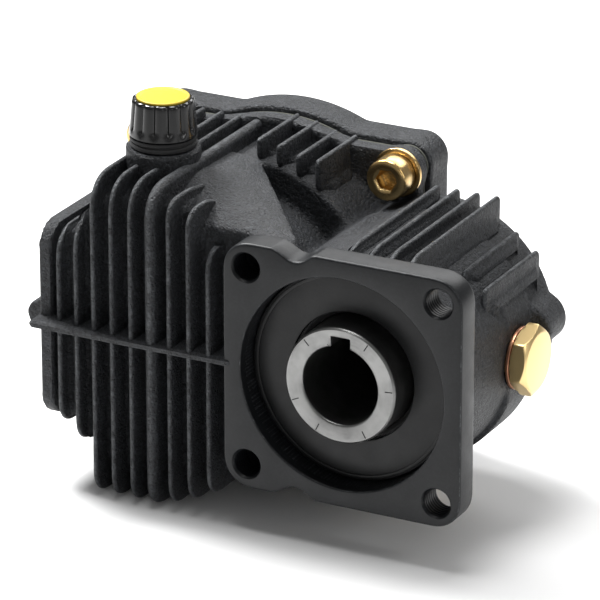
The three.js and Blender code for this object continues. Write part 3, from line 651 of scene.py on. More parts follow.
def shader_group(name: str, inputs: dict[str, tuple[str, object]], outputs: dict[str, str],
                 build: Callable[[Wiring, dict], dict]) -> bpy.types.NodeTree:
    """Makes a shader node group once.

    Args:
        name: The group's name.
        inputs: Socket kind and default value, by socket name.
        outputs: Socket kind, by socket name.
        build: Fills the group. It gets the wiring and the input sockets by name, and gives back the
            sockets for the outputs.

    Returns:
        The group.
    """
    if name in bpy.data.node_groups:
        return bpy.data.node_groups[name]
    tree = bpy.data.node_groups.new(name, "ShaderNodeTree")
    for socket, (kind, default) in inputs.items():
        given = tree.interface.new_socket(socket, in_out="INPUT", socket_type="NodeSocket" + kind)
        given.default_value = default
    for socket, kind in outputs.items():
        tree.interface.new_socket(socket, in_out="OUTPUT", socket_type="NodeSocket" + kind)
    wiring = Wiring(tree)
    start = wiring.add("NodeGroupInput")
    end = wiring.add("NodeGroupOutput")
    result = build(wiring, {socket: start.outputs[socket] for socket in inputs})
    for socket, value in result.items():
        tree.links.new(value, end.inputs[socket])
    return tree


def cast_skin_group() -> bpy.types.NodeTree:
    """The grainy skin that sand leaves on a painted casting: a shade and a height."""
    def build(w: Wiring, given: dict) -> dict:
        """Adds fine grains, pits and slow unevenness together."""
        where = w.add("TexCoord").outputs["Object"]
        fine = w.noise(where, 900, 5, 0.75)
        coarse = w.noise(where, 380, 3, 0.6)
        slow = w.noise(where, 45, 2, 0.5)
        cells = w.add("TexVoronoi", {"Vector": where, "Scale": 900.0}).outputs["Distance"]
        pits = w.ramp(cells, 0.0, 0.45)
        height = w.math("ADD", w.math("MULTIPLY", fine, 0.55), w.math("MULTIPLY", coarse, 0.45))
        height = w.math("ADD", height, w.math("MULTIPLY", pits, 0.25))
        height = w.math("MULTIPLY", height, given["Depth"])
        speckle = w.ramp(fine, 0.46, 0.62)
        shade = w.math("MULTIPLY", speckle, given["Speckle"])
        shade = w.math("ADD", shade, w.math("MULTIPLY", slow, 0.35))
        return {"Shade": shade, "Height": height}
    return shader_group("Cast skin", {"Depth": ("Float", 1.0), "Speckle": ("Float", 0.6)},
                        {"Shade": "Float", "Height": "Float"}, build)


def edge_wear_and_highlight_group() -> bpy.types.NodeTree:
    """Where handling has rubbed an edge bare, and where a highlight is painted on the edge: the
    piece's own wear, broken up by noise.
    """
    def build(w: Wiring, given: dict) -> dict:
        """Compares the wear with a threshold that wanders from place to place."""
        where = w.add("TexCoord").outputs["Object"]
        wear_and_highlight = w.add("Attribute", attribute_name="wear_and_highlight").outputs["Fac"]
        fine = w.math("MULTIPLY", w.noise(where, 1400, 2), 0.4)
        broken = w.math("ADD", w.noise(where, 260, 4, 0.7), fine)
        amount = w.math("MULTIPLY", wear_and_highlight, given["Amount"])
        amount = w.math("SUBTRACT", amount, w.math("MULTIPLY", broken, 0.75))
        return {"Mask": w.ramp(amount, 0.0, 0.22)}
    return shader_group("Edge wear and painted highlight", {"Amount": ("Float", 1.0)}, {"Mask": "Float"}, build)


def oil_film_group() -> bpy.types.NodeTree:
    """Smears of oil and fingerprints: a mask that changes roughness."""
    def build(w: Wiring, given: dict) -> dict:
        """Stretches one noise by another."""
        where = w.add("TexCoord").outputs["Object"]
        slow = w.noise(where, 38, 3, 0.6)
        smear = w.noise(where, 160, 3, 0.6)
        both = w.math("MULTIPLY", slow, smear)
        return {"Mask": w.math("MULTIPLY", w.ramp(both, 0.16, 0.42), given["Amount"])}
    return shader_group("Oil film", {"Amount": ("Float", 0.5)}, {"Mask": "Float"}, build)


def turning_marks_group() -> bpy.types.NodeTree:
    """The fine rings that a lathe tool leaves round an axis along Z of the given vector."""
    def build(w: Wiring, given: dict) -> dict:
        """Takes waves of the distance from the axis, and of the place along it."""
        parts = w.add("SeparateXYZ", {0: given["Place"]})
        x, y, z = parts.outputs
        squares = w.math("ADD", w.math("MULTIPLY", x, x), w.math("MULTIPLY", y, y))
        radius = w.math("SQRT", squares)
        both = w.math("ADD", radius, z)
        rings = w.math("SINE", w.math("MULTIPLY", both, given["Rings"]))
        spin = w.math("ARCTAN2", y, x)
        drift = w.add("CombineXYZ", {0: w.math("MULTIPLY", both, 900.0),
                                     1: w.math("MULTIPLY", spin, 2.0)})
        uneven = w.noise(drift.outputs[0], 1.0, 2, 0.6)
        return {"Height": w.math("ADD", w.math("MULTIPLY", rings, 0.4), uneven), "Uneven": uneven}
    return shader_group(
        "Turning marks", {"Place": ("Vector", (0, 0, 0)), "Rings": ("Float", 18000.0)},
        {"Height": "Float", "Uneven": "Float"}, build)


# ---- Finishes ----------------------------------------------------------------------------------

Colour = tuple[float, float, float]


def rgba(colour: Colour) -> tuple[float, float, float, float]:
    """Returns a colour with its alpha."""
    return (*colour, 1.0)


@dataclass(frozen=True)
class Finish:
    """A finish: its name, its slot, and what all finishes have."""

    name: str
    slot: str
    colour: Colour
    roughness: float

    def material(self) -> bpy.types.Material:
        """Returns the finish as a material, made the first time that it is asked for."""
        if self.name in bpy.data.materials:
            return bpy.data.materials[self.name]
        material = bpy.data.materials.new(self.name)
        material.use_nodes = True
        tree = material.node_tree
        tree.nodes.clear()
        wiring = Wiring(tree)
        shader = wiring.add("BsdfPrincipled")
        output = wiring.add("OutputMaterial")
        tree.links.new(shader.outputs[0], output.inputs[0])
        self.wire(wiring, shader)
        return material

    def wire(self, w: Wiring, shader: bpy.types.Node) -> None:
        """Feeds the shader. Each kind of finish has its own way."""
        raise NotImplementedError

    def feed(self, w: Wiring, shader: bpy.types.Node, colour: object, roughness: object,
             height: object = None, depth: float = 0.0002, strength: float = 0.5) -> None:
        """Joins a colour, a roughness and a height to the shader.

        Args:
            w: The wiring of the material.
            shader: Its Principled shader.
            colour: The colour's socket.
            roughness: The roughness's socket.
            height: The bump's height socket, if there is one.
            depth: How deep the bump is, in metres.
            strength: How strongly the bump shows.
        """
        w.tree.links.new(colour, shader.inputs["Base Color"])
        w.tree.links.new(roughness, shader.inputs["Roughness"])
        if height is not None:
            bump = w.add("Bump", {"Strength": strength, "Distance": depth, "Height": height})
            w.tree.links.new(bump.outputs[0], shader.inputs["Normal"])


@dataclass(frozen=True)
class CastFinish(Finish):
    """Painted casting: grainy skin, rubbed edges that also carry a painted highlight, and a thin
    film of oil.
    """

    # Colour of rubbed edges: bare metal where paint is worn, and partly a painted edge highlight.
    worn_and_highlit: Colour = (0.10, 0.105, 0.11)
    grain: float = 1.0
    depth: float = 0.0011
    speckle: float = 1.0
    sparkle: float = 3.4
    rubbed_and_highlit: float = 0.62
    oil: float = 0.5

    def wire(self, w: Wiring, shader: bpy.types.Node) -> None:
        """Mixes the paint's shades, then lays the rubbed edges over them, lighter and metallic as
        worn paint and as a painted edge highlight.
        """
        skin = w.add("Group", {}, node_tree=cast_skin_group())
        skin.inputs["Depth"].default_value = 1.0
        skin.inputs["Speckle"].default_value = self.speckle
        rub_and_highlight = w.add("Group", {}, node_tree=edge_wear_and_highlight_group())
        rub_and_highlight.inputs["Amount"].default_value = self.rubbed_and_highlit
        oil = w.add("Group", {}, node_tree=oil_film_group())
        oil.inputs["Amount"].default_value = self.oil
        dark = tuple(0.55 * part for part in self.colour)
        light = tuple(self.sparkle * part for part in self.colour)
        paint = w.mix(skin.outputs["Shade"], rgba(dark), rgba(light))
        # Rubbed edges, lighter partly as wear and partly as a painted highlight.
        colour = w.mix(rub_and_highlight.outputs["Mask"], paint, rgba(self.worn_and_highlit))
        rough = w.math("SUBTRACT", self.roughness, w.math("MULTIPLY", oil.outputs["Mask"], 0.22))
        rough = w.math("SUBTRACT", rough, w.math("MULTIPLY", rub_and_highlight.outputs["Mask"], 0.12))
        metal = w.math("MULTIPLY", rub_and_highlight.outputs["Mask"], 0.75)
        w.tree.links.new(metal, shader.inputs["Metallic"])
        self.feed(w, shader, colour, rough, skin.outputs["Height"], self.depth, self.grain)
        shader.inputs["Specular IOR Level"].default_value = 0.34


@dataclass(frozen=True)
class MetalFinish(Finish):
    """Turned, ground or plated metal: rings round its axis, slow tint and smears."""

    tint: Colour = (0.5, 0.5, 0.5)
    centre: tuple[float, float, float] = (0.0, 0.0, 0.0)
    turn: tuple[float, float, float] = (math.pi / 2, 0.0, 0.0)
    rings: float = 18000.0
    marks: float = 0.25
    oil: float = 0.4

    def wire(self, w: Wiring, shader: bpy.types.Node) -> None:
        """Centres the turning marks on the axis, and lets smears dull the metal."""
        where = w.add("TexCoord").outputs["Object"]
        base = np.array(self.centre) * MM + DATUM
        moved = w.add("VectorMath", {0: where, 1: tuple(base)}, operation="SUBTRACT").outputs[0]
        placed = w.add("Mapping", {"Vector": moved, "Rotation": self.turn}).outputs[0]
        marks = w.add("Group", {"Place": placed}, node_tree=turning_marks_group())
        marks.inputs["Rings"].default_value = self.rings
        oil = w.add("Group", {}, node_tree=oil_film_group())
        oil.inputs["Amount"].default_value = self.oil
        patch = w.ramp(w.noise(where, 120, 3, 0.6), 0.35, 0.7)
        both = w.math("MULTIPLY", patch, w.math("ADD", marks.outputs["Uneven"], 0.2))
        colour = w.mix(both, rgba(self.colour), rgba(self.tint))
        rough = w.math("ADD", self.roughness, w.math("MULTIPLY", oil.outputs["Mask"], 0.18))
        rough = w.math("ADD", rough, w.math("MULTIPLY", marks.outputs["Uneven"], 0.08))
        shader.inputs["Metallic"].default_value = 1.0
        self.feed(w, shader, colour, rough, marks.outputs["Height"], 0.00004, self.marks)


@dataclass(frozen=True)
class PolymerFinish(Finish):
    """Moulded plastic, rubber or fibre: a fine skin, dust and rubbed edges."""

    dust: Colour = (0.2, 0.2, 0.2)
    grain: float = 0.15
    scale: float = 900.0
    coat: float = 0.0
    dusty: float = 0.25
    rubbed_and_highlit: float = 0.3

    def wire(self, w: Wiring, shader: bpy.types.Node) -> None:
        """Breaks the colour up with dust, and wears the edges a little lighter."""
        where = w.add("TexCoord").outputs["Object"]
        skin = w.noise(where, self.scale, 4, 0.6)
        slow = w.noise(where, 90, 3, 0.6)
        rub_and_highlight = w.add("Group", {}, node_tree=edge_wear_and_highlight_group())
        rub_and_highlight.inputs["Amount"].default_value = self.rubbed_and_highlit
        oil = w.add("Group", {}, node_tree=oil_film_group())
        oil.inputs["Amount"].default_value = 1.0
        dull = tuple(0.8 * part for part in self.colour)
        shaded = w.mix(w.ramp(slow, 0.3, 0.75), rgba(dull), rgba(self.colour))
        amount = w.math("MULTIPLY", w.math("MULTIPLY", oil.outputs["Mask"], skin), self.dusty)
        amount = w.math("MAXIMUM", amount, w.math("MULTIPLY", rub_and_highlight.outputs["Mask"], 0.35))
        colour = w.mix(amount, shaded, rgba(self.dust))
        rough = w.math("ADD", self.roughness, w.math("MULTIPLY", oil.outputs["Mask"], 0.14))
        shader.inputs["Coat Weight"].default_value = self.coat
        shader.inputs["Coat Roughness"].default_value = 0.08
        self.feed(w, shader, colour, rough, skin, 0.00008, self.grain)


@dataclass(frozen=True)
class Finishes:
    """Every finish of the gearbox."""

    casting: CastFinish = CastFinish(
        "rough black casting", "black_casting", (0.0100, 0.0108, 0.0122), 0.52)
    # The flange face and the seal cover are darker copies of the casting paint: smoother, and
    # darker as painted shade on the front face and in the recess.
    machined_and_shaded: CastFinish = CastFinish(
        "machined black face in painted shade", "black_casting", (0.0052, 0.0060, 0.0071), 0.46,
        grain=0.3, depth=0.00012, speckle=0.45, sparkle=2.0, rubbed_and_highlit=0.6)
    cover: CastFinish = CastFinish(
        "black seal cover in painted shade", "black_casting", (0.0040, 0.0043, 0.0048), 0.46,
        grain=0.25, depth=0.0001, speckle=0.4, sparkle=2.0, rubbed_and_highlit=0.5)
    shaft: MetalFinish = MetalFinish(
        "turned steel", "turned_steel", (0.27, 0.27, 0.265), 0.3, tint=(0.15, 0.15, 0.148))
    # Dark finish of the witness marks: painted shade of the struck grooves.
    struck_in_painted_shade: MetalFinish = MetalFinish(
        "struck marks in painted shade", "turned_steel", (0.03, 0.03, 0.03), 0.45, tint=(0.02, 0.02, 0.02))
    output_shaft: MetalFinish = MetalFinish(
        "turned steel on the output line", "turned_steel", (0.56, 0.56, 0.55), 0.3,
        tint=(0.40, 0.40, 0.39), centre=(OUTPUT_X, 0, 0))
    gear: MetalFinish = MetalFinish("gear steel", "gear_steel", (0.32, 0.33, 0.34), 0.34,
                                    tint=(0.22, 0.22, 0.23), centre=(OUTPUT_X, 0, 0))
    bearing: MetalFinish = MetalFinish("bearing steel", "bearing_steel", (0.6, 0.61, 0.62), 0.16,
                                       tint=(0.45, 0.45, 0.46), marks=0.1)
    zinc: MetalFinish = MetalFinish(
        "yellow zinc", "yellow_zinc", (0.78, 0.56, 0.26), 0.17, tint=(0.60, 0.36, 0.12),
        centre=(OUTPUT_X + SCREW_REACH, 0, SCREW_REACH), marks=0.3)
    brass: MetalFinish = MetalFinish(
        "brass", "brass", (0.50, 0.31, 0.105), 0.30, tint=(0.40, 0.23, 0.07),
        centre=(37, 47.6, -1.1), turn=(0.0, math.pi / 2, 0.0), marks=0.3)
    copper: MetalFinish = MetalFinish(
        "copper", "copper", (0.62, 0.30, 0.18), 0.36, tint=(0.42, 0.2, 0.12),
        centre=LEVEL_SEAT, turn=(0.0, math.pi / 2, 0.0))
    rubber: PolymerFinish = PolymerFinish(
        "black rubber", "black_rubber", (0.012, 0.012, 0.013), 0.62,
        dust=(0.09, 0.09, 0.085), grain=0.3)
    cap: PolymerFinish = PolymerFinish(
        "black cap plastic", "black_plastic", (0.004, 0.004, 0.0043), 0.16,
        dust=(0.04, 0.04, 0.04), grain=0.05, coat=0.3, dusty=0.08, rubbed_and_highlit=0.12)
    yellow: PolymerFinish = PolymerFinish(
        "yellow plastic", "yellow_plastic", (0.50, 0.36, 0.008), 0.42, dust=(0.42, 0.33, 0.06),
        grain=0.08, dusty=0.3, rubbed_and_highlit=0.2)
    fibre: PolymerFinish = PolymerFinish("gasket fibre", "gasket_fibre", (0.07, 0.072, 0.06), 0.85,
                                         dust=(0.14, 0.14, 0.12), grain=0.5, scale=2200)


# ---- Cast body ---------------------------------------------------------------------------------


@dataclass
class CastBody:
    """The fused casting: oil casing, saddle, gear drum, pinion housing, rim and bosses.

    Every part is a field of distances, negative inside it. A part named with a front and a back is
    carried along Y from one to the other.
    """

    pitch: float = 1.15
    fillet: float = 3.0
    low: tuple[float, float, float] = (-118.0, -3.0, -61.0)
    high: tuple[float, float, float] = (47.0, 81.0, 61.0)
    front: float = 9.0
    back: float = 78.0
    wall: float = 4.0
    core_left: float = -106.8
    core_top: float = 44.0
    core_back: float = 73.0
    shoulder_inset: float = 10.8
    roof_inset: float = 20.8
    shoulder_heights: tuple[float, float] = (33.0, -35.0)
    left_heights: tuple[float, float] = (24.0, -26.0)
    drum_front: float = 51.0
    gear_front: float = 54.2
    ridge_start: float = -18.5
    ridge_normal: tuple[float, float] = (0.764, 0.6453)
    ridge_height: float = 39.0
    ridge_rise: float = 0.19
    saddle_left: float = -66.0
    saddle_crown: float = 49.0
    housing_step: float = 58.0
    rim_half: float = 48.9
    rim_front: float = 72.0
    lobe: float = 7.05
    bulge: float = 53.4
    lug_x: float = -110.0
    boss: tuple[float, float] = (34.5, 4.3)
    bearing_radius: float = 31.3

    def core_distance(self, x: Array, z: Array, inset: float) -> Array:
        """Distance to the oil casing's outline, from its sides' lines."""
        left, top = self.core_left + inset, self.core_top - inset
        shoulder, roof, lean = left + self.shoulder_inset, left + self.roof_inset, inset / 2
        high, low = self.shoulder_heights
        wall_high, wall_low = self.left_heights
        upper = [(left, wall_high - lean), (shoulder, high - lean), (roof, top), (OUTPUT_X, top)]
        lower = [(OUTPUT_X, -top), (roof, -top), (shoulder, low + lean), (left, wall_low + lean)]
        return outline_distance(x, z, lower + upper)

    def saddle(self, x: Array, y: Array, z: Array) -> Array:
        """The saddle between the oil casing and the engine flange.

        Its roof is the lowest of three heights: the ridge's, rising to the left of the ridge; a
        slope that starts behind the flange; and a flat crown. It is cut off along the ridge.
        """
        along = y - self.front
        ridge = (x - self.ridge_start) * self.ridge_normal[0] + along * self.ridge_normal[1]
        height = np.abs(z)
        shed = (height - self.ridge_height - self.ridge_rise * along + 0.42 * ridge) * 0.92
        rise = (height - self.ridge_height - 1.2 - 0.56 * along) * 0.873
        roof = -blend_add(-shed, -rise, 5.0)
        roof = -blend_add(-roof, self.saddle_crown - height, 6.0)
        ends = np.maximum(-along, y - self.drum_front - 1)
        roof = blend_cut(blend_cut(roof, -ridge, 0.6), -ends, 1.0)
        return np.maximum(roof, self.saddle_left - x)

    def pinion_housing(self, x: Array, y: Array, z: Array) -> Array:
        """The housing round the pinion shaft: its belly, its blind boss and the flange's root."""
        from_axis, radius, step = np.hypot(x, z), HOUSING_RADIUS, self.housing_step
        housing = prism(from_axis - radius, y, 4, step, 0.6)
        rear = prism(from_axis - radius + 0.7, y, 50, self.back - 3, 2.0)
        blind = prism(from_axis - 31, y, 60, self.back - 0.2, 1.4)
        belly = prism(np.hypot(x - 1.12, z + 1.28) - radius, y, 41, step, 0.8)
        housing = blend_add(blend_add(housing, rear, 0.8), blend_add(blind, belly, 1.0), 1.2)
        root = prism(oblong(x, z, 38.6, 38.6, 8), y, 3.0, 9.3, 0.6)
        return blend_add(housing, root, 4.0)

    def rim(self, x: Array, y: Array, z: Array) -> Array:
        """The lobed rim that the rear flange is screwed to."""
        out_x, half, reach = x - OUTPUT_X, self.rim_half, SCREW_REACH
        square = np.minimum(oblong(out_x, z, half, reach), oblong(out_x, z, reach, half))
        lobes = np.hypot(np.abs(out_x) - reach, np.abs(z) - reach) - self.lobe
        outline = blend_add(blend_add(square, lobes, 2.0), np.hypot(out_x, z) - self.bulge, 3.0)
        return prism(outline, y, self.rim_front, self.back - 0.1, 0.7)

    def outside(self, x: Array, y: Array, z: Array) -> Array:
        """The casting's outer shape, with a fillet wherever two parts of it meet."""
        from_output = np.hypot(x - OUTPUT_X, z)
        core = prism(self.core_distance(x, z, 0.0), y, self.front, self.core_back, 1.2)
        tunnel = prism(from_output - TUNNEL_RADIUS, y, self.front, self.drum_front + 1, 1.0)
        drum = prism(from_output - DRUM_RADIUS, y, self.drum_front, self.back, 1.0)
        upper = blend_add(self.saddle(x, y, z), drum, 2.0)
        shape = blend_add(blend_add(core, tunnel, self.fillet), upper, 2.0)
        shape = blend_add(self.pinion_housing(x, y, z), shape, self.fillet)
        shape = blend_add(shape, self.rim(x, y, z), 2.5)
        neck = np.hypot(x - FILLER[0], y - FILLER[1]) - 11.8
        shape = blend_add(shape, np.maximum(neck, np.maximum(36 - z, z - 55.3)), 2.5)
        left = prism(oblong(y - 39.5, z + 1, 34.5, 32.5, 8), x, self.core_left - 1.6, -104, 0.5)
        shape = blend_add(shape, left, 1.0)
        rib = prism(np.abs(z) - 1.1, y, -0.6, 12, 0.5)
        shape = blend_add(shape, np.maximum(rib, np.maximum(-109.4 - x, x + 38)), 1.2)
        lug = prism(np.hypot(x - self.lug_x, z) - 4.75, y, 8, 15, 0.8)
        from_boss = np.hypot(x - self.boss[0], z - self.boss[1])
        boss = prism(from_boss - 8, y, self.housing_step, 72, 1.0)
        return blend_add(blend_add(shape, lug, 1.5), boss, 2.5)

    def inside(self, x: Array, y: Array, z: Array) -> Array:
        """The hollows: oil space, gear space, shaft tunnel and the two lines of bores."""
        from_output, from_pinion = np.hypot(x - OUTPUT_X, z), np.hypot(x, z)
        space = prism(self.core_distance(x, z, self.wall), y, self.front + self.wall, 54)
        bores = [(from_output, DRUM_RADIUS - 4.7, self.gear_front, 90),
                 (from_pinion, 34.55, -5, 17.6), (from_pinion, 34.3, 15, 32.6),
                 (from_pinion, 31.5, 30, 68.1), (from_pinion, 23.8, 60, 75.9)]
        for distance, radius, start, end in bores:
            space = np.minimum(space, prism(distance - radius, y, start, end))
        seat = prism(from_output - TUNNEL_RADIUS, y, 32.9, self.gear_front)
        space = np.maximum(space, -np.maximum(seat, self.bearing_radius - from_output))
        return np.minimum(space, prism(from_output - self.bearing_radius, y, 37, 60))

    def holes(self, x: Array, y: Array, z: Array) -> Array:
        """Screw pockets, scallops, flange holes, plug bores and their flat seats."""
        from_level = np.hypot(y - LEVEL_SEAT[1], z - LEVEL_SEAT[2])
        from_drain = np.hypot(x, y - DRAIN_SEAT[1])
        from_filler = np.hypot(x - FILLER[0], y - FILLER[1])
        from_screw = np.hypot(np.abs(x - OUTPUT_X) - SCREW_REACH, np.abs(z) - SCREW_REACH)
        from_scallop = np.hypot(x - OUTPUT_X - SCREW_REACH, np.abs(z) - SCREW_REACH)
        from_bolt = np.hypot(np.abs(x) - BOLT_REACH, np.abs(z) - BOLT_REACH)
        seat_x, seat_z = LEVEL_SEAT[0], DRAIN_SEAT[2]
        cuts = [np.maximum(from_level - 13.0, seat_x - x), np.maximum(from_level - 8.6, 28 - x),
                np.maximum(from_drain - 11.3, z - seat_z), np.maximum(from_drain - 6.3, z + 28),
                np.maximum(from_filler - 8.3, 39 - z), from_screw - 4.3,
                prism(from_screw - 9.5, y, 32, self.rim_front),
                prism(from_scallop - 7.2, y, -5, 12), prism(from_bolt - 4.7, y, -5, 14)]
        nearest = cuts[0]
        for cut in cuts[1:]:
            nearest = np.minimum(nearest, cut)
        return nearest

    def distance(self, x: Array, y: Array, z: Array) -> Array:
        """The whole casting: its outside less the hollows and the holes."""
        solid = blend_cut(self.outside(x, y, z), self.holes(x, y, z), 0.9)
        return blend_cut(solid, self.inside(x, y, z), 0.8)

    def build(self, finishes: Finishes) -> None:
        """Makes the fused casting, as one piece."""
        shell = surface_net(self.distance, self.low, self.high, self.pitch)
        made("gear_casing_body", shell, Body.CASING, finishes.casting, ["gear_casing"],
             sharp=42, merge=False)


# ---- Cooling fins ------------------------------------------------------------------------------


@dataclass
class CoolingFins:
    """The upright fins of the oil casing, the gear drum and the pinion housing."""

    tip: float = 1.7
    draft: float = 0.035
    flare: float = 1.3
    foot: float = 4.2
    left_first: float = -100.75
    left_pitch: float = 6.85
    left_tops: tuple[float, ...] = (31.5, 37, 52, 52, 52, 52, 49, 47, 35)
    left_bottoms: tuple[float, ...] = (-34.6, -39, -54.8, -54.8, -54.8, -54.8, -53, -50.5, -47)
    left_fronts: tuple[float, ...] = (3.6, 2.4, 1.2, 0.6, 0.3, 0, 0, 0, 0)
    thick_fin: int = 5
    thick_tip: float = 3.7
    sunk_fins: tuple[int, ...] = (6, 7)
    pitch: float = 6.87
    drum_first: float = -55.0
    drum_tops: tuple[float, ...] = (54, 52.7, 50.7, 50.2)
    housing_first: float = -1.9
    housing_tops: tuple[float, ...] = (41.4, 41.4, 41.4, 41.4, 30.9, 25.8)
    long_housing_fins: int = 4

    def fin(self, x: float, edge: Array, box: tuple[float, float, float, float],
            thickness: float) -> Shell:
        """One fin: a tapering section carried along the fin's free edge.

        The section at edge point P runs to the nearest point Q of the inner box. At depth d it
        reaches t/2 + draft d to each side, its tip is a half circle, and it flares by a square law
        over the last millimetres above the wall.

        Args:
            x: Where the fin stands.
            edge: The free edge's points in (Y, Z).
            box: The inner box's least and greatest Y and Z, just under the wall's surface.
            thickness: The fin's thickness at its tip.

        Returns:
            The closed fin.
        """
        inner = np.clip(edge, (box[0], box[2]), (box[1], box[3]))
        length = np.linalg.norm(inner - edge, axis=1)
        way = (inner - edge) / length[:, None]
        r = thickness / 2
        tip = np.linspace(math.pi / 2, 0, 6)
        depth_tip, half_tip = r * (1 - np.sin(tip)), r * np.cos(tip)
        below = np.array([0.25, 0.6, 1.0, 1.25, 1.5, 1.8, 2.2, 3.7])
        base = length[:, None] - self.foot
        deeper = np.where(below <= 1.0, r + (base - r) * below,
                          base + (below - 1.0) * (self.foot / (below[-1] - 1.0)))
        depth = np.concatenate([np.repeat(depth_tip[None], len(edge), 0), deeper], axis=1)
        flared = np.clip((depth - base) / 2.6, 0, 1) ** 2 * self.flare
        half = np.concatenate([np.repeat(half_tip[None], len(edge), 0),
                               np.full(deeper.shape, r)], axis=1) + self.draft * depth + flared
        place = edge[:, None] + way[:, None] * depth[..., None]
        sides = []
        for sign in (-1, 1):
            sides.append(np.concatenate([(x + sign * half)[..., None], place], axis=2))
        rows = np.concatenate([sides[0][:, ::-1], sides[1]], axis=1)
        # The fin's tip is worn, and its wear also paints a highlight along the edge.
        worn_and_highlit = np.clip(1 - depth / 1.6, 0, 1)
        wear_and_highlight = np.concatenate([worn_and_highlit[:, ::-1], worn_and_highlit], axis=1)
        columns = rows.shape[1]
        count = rows.shape[0] * columns
        ends = [np.arange(columns)[None], (np.arange(columns) + count - columns)[None]]
        faces = [grid_faces(rows.shape[0], columns, False, True)] + ends
        return Shell(rows.reshape(-1, 3), faces, wear_and_highlight.ravel())

    def wall_heights(self, x: float) -> tuple[float, float]:
        """How low and how high the oil casing's wall reaches at a place across it."""
        high = np.interp(x, [-108.4, -106.8, -96, -86], [24, 24, 33, 44])
        low = np.interp(x, [-108.4, -106.8, -96, -86], [-26, -26, -35, -44])
        if x > OUTPUT_X:
            drop = TUNNEL_RADIUS - math.sqrt(TUNNEL_RADIUS ** 2 - min(x - OUTPUT_X, 30) ** 2)
            high, low = 38 - drop * 0.3, -38 + drop * 0.3
        return float(low), float(high)

    def left(self) -> list[Shell]:
        """The fins that wrap the oil casing from below, round its front and over its top."""
        fins = []
        sizes = zip(self.left_tops, self.left_bottoms, self.left_fronts)
        for i, (top, bottom, front) in enumerate(sizes):
            x = self.left_first + i * self.left_pitch
            low, high = self.wall_heights(x)
            radius = min(12.0, top / 3)
            back = 74 if i <= self.thick_fin else 15
            line = [(74, bottom), (front, bottom), (front, top), (back, top)]
            if i in self.sunk_fins:
                line.append((back + 8, high + 3.5))
            lower = rounded(line[:3], 8.5, 10)[:-1]
            upper = rounded([lower[-1]] + line[2:], radius * 1.05, 12)[1:]
            edge = np.concatenate([lower, upper])
            thickness = self.thick_tip if i == self.thick_fin else self.tip
            fins.append(self.fin(x, edge, (10.6, 74, low + 1.6, high - 1.6), thickness))
        return fins

    def drum(self) -> list[Shell]:
        """The fins over and under the gear drum."""
        fins = []
        for i, top in enumerate(self.drum_tops):
            x = self.drum_first + i * self.pitch
            wall = math.sqrt(DRUM_RADIUS ** 2 - (x - OUTPUT_X) ** 2)
            edge = rounded([(53.5, wall - 7), (53.5, wall - 1), (51.2, wall + 1), (51.2, top),
                            (77.6, top)], 1.4, 5)
            upper = self.fin(x, edge, (59.0, 77.6, wall - 7, wall - 1.6), self.tip)
            lower = Shell(upper.points * np.array([1, 1, -1]), upper.faces, upper.wear_and_highlight)
            fins += [upper, lower]
        return fins

    def housing(self) -> list[Shell]:
        """The fins over the pinion housing, behind the engine flange."""
        fins = []
        for i, top in enumerate(self.housing_tops):
            x = self.housing_first + i * self.pitch
            wall = math.sqrt(HOUSING_RADIUS ** 2 - x ** 2)
            front = 6.0 if i < self.long_housing_fins else 32.0
            if i < self.long_housing_fins:
                edge = rounded([(5.5, 33.0), (7.0, 38.5), (10.6, 40.2), (15.0, top), (71.0, top),
                                (71.0, wall - 8)], 1.6, 6)
            else:
                edge = rounded([(front, wall - 8), (front, top), (71.0, top),
                                (71.0, wall - 8)], 2.2, 6)
            inner = (front + 6.0, 66.0, wall - 8, wall - 1.6)
            fins.append(self.fin(x, edge, inner, self.tip))
        return fins

    def build(self, finishes: Finishes) -> None:
        """Makes the three groups of fins."""
        for name, fins in (("oil_casing_fins", self.left()), ("gear_drum_fins", self.drum()),
                           ("pinion_housing_fins", self.housing())):
            made(name, joined(fins), Body.CASING, finishes.casting, sharp=50)


# ---- Flanges -----------------------------------------------------------------------------------


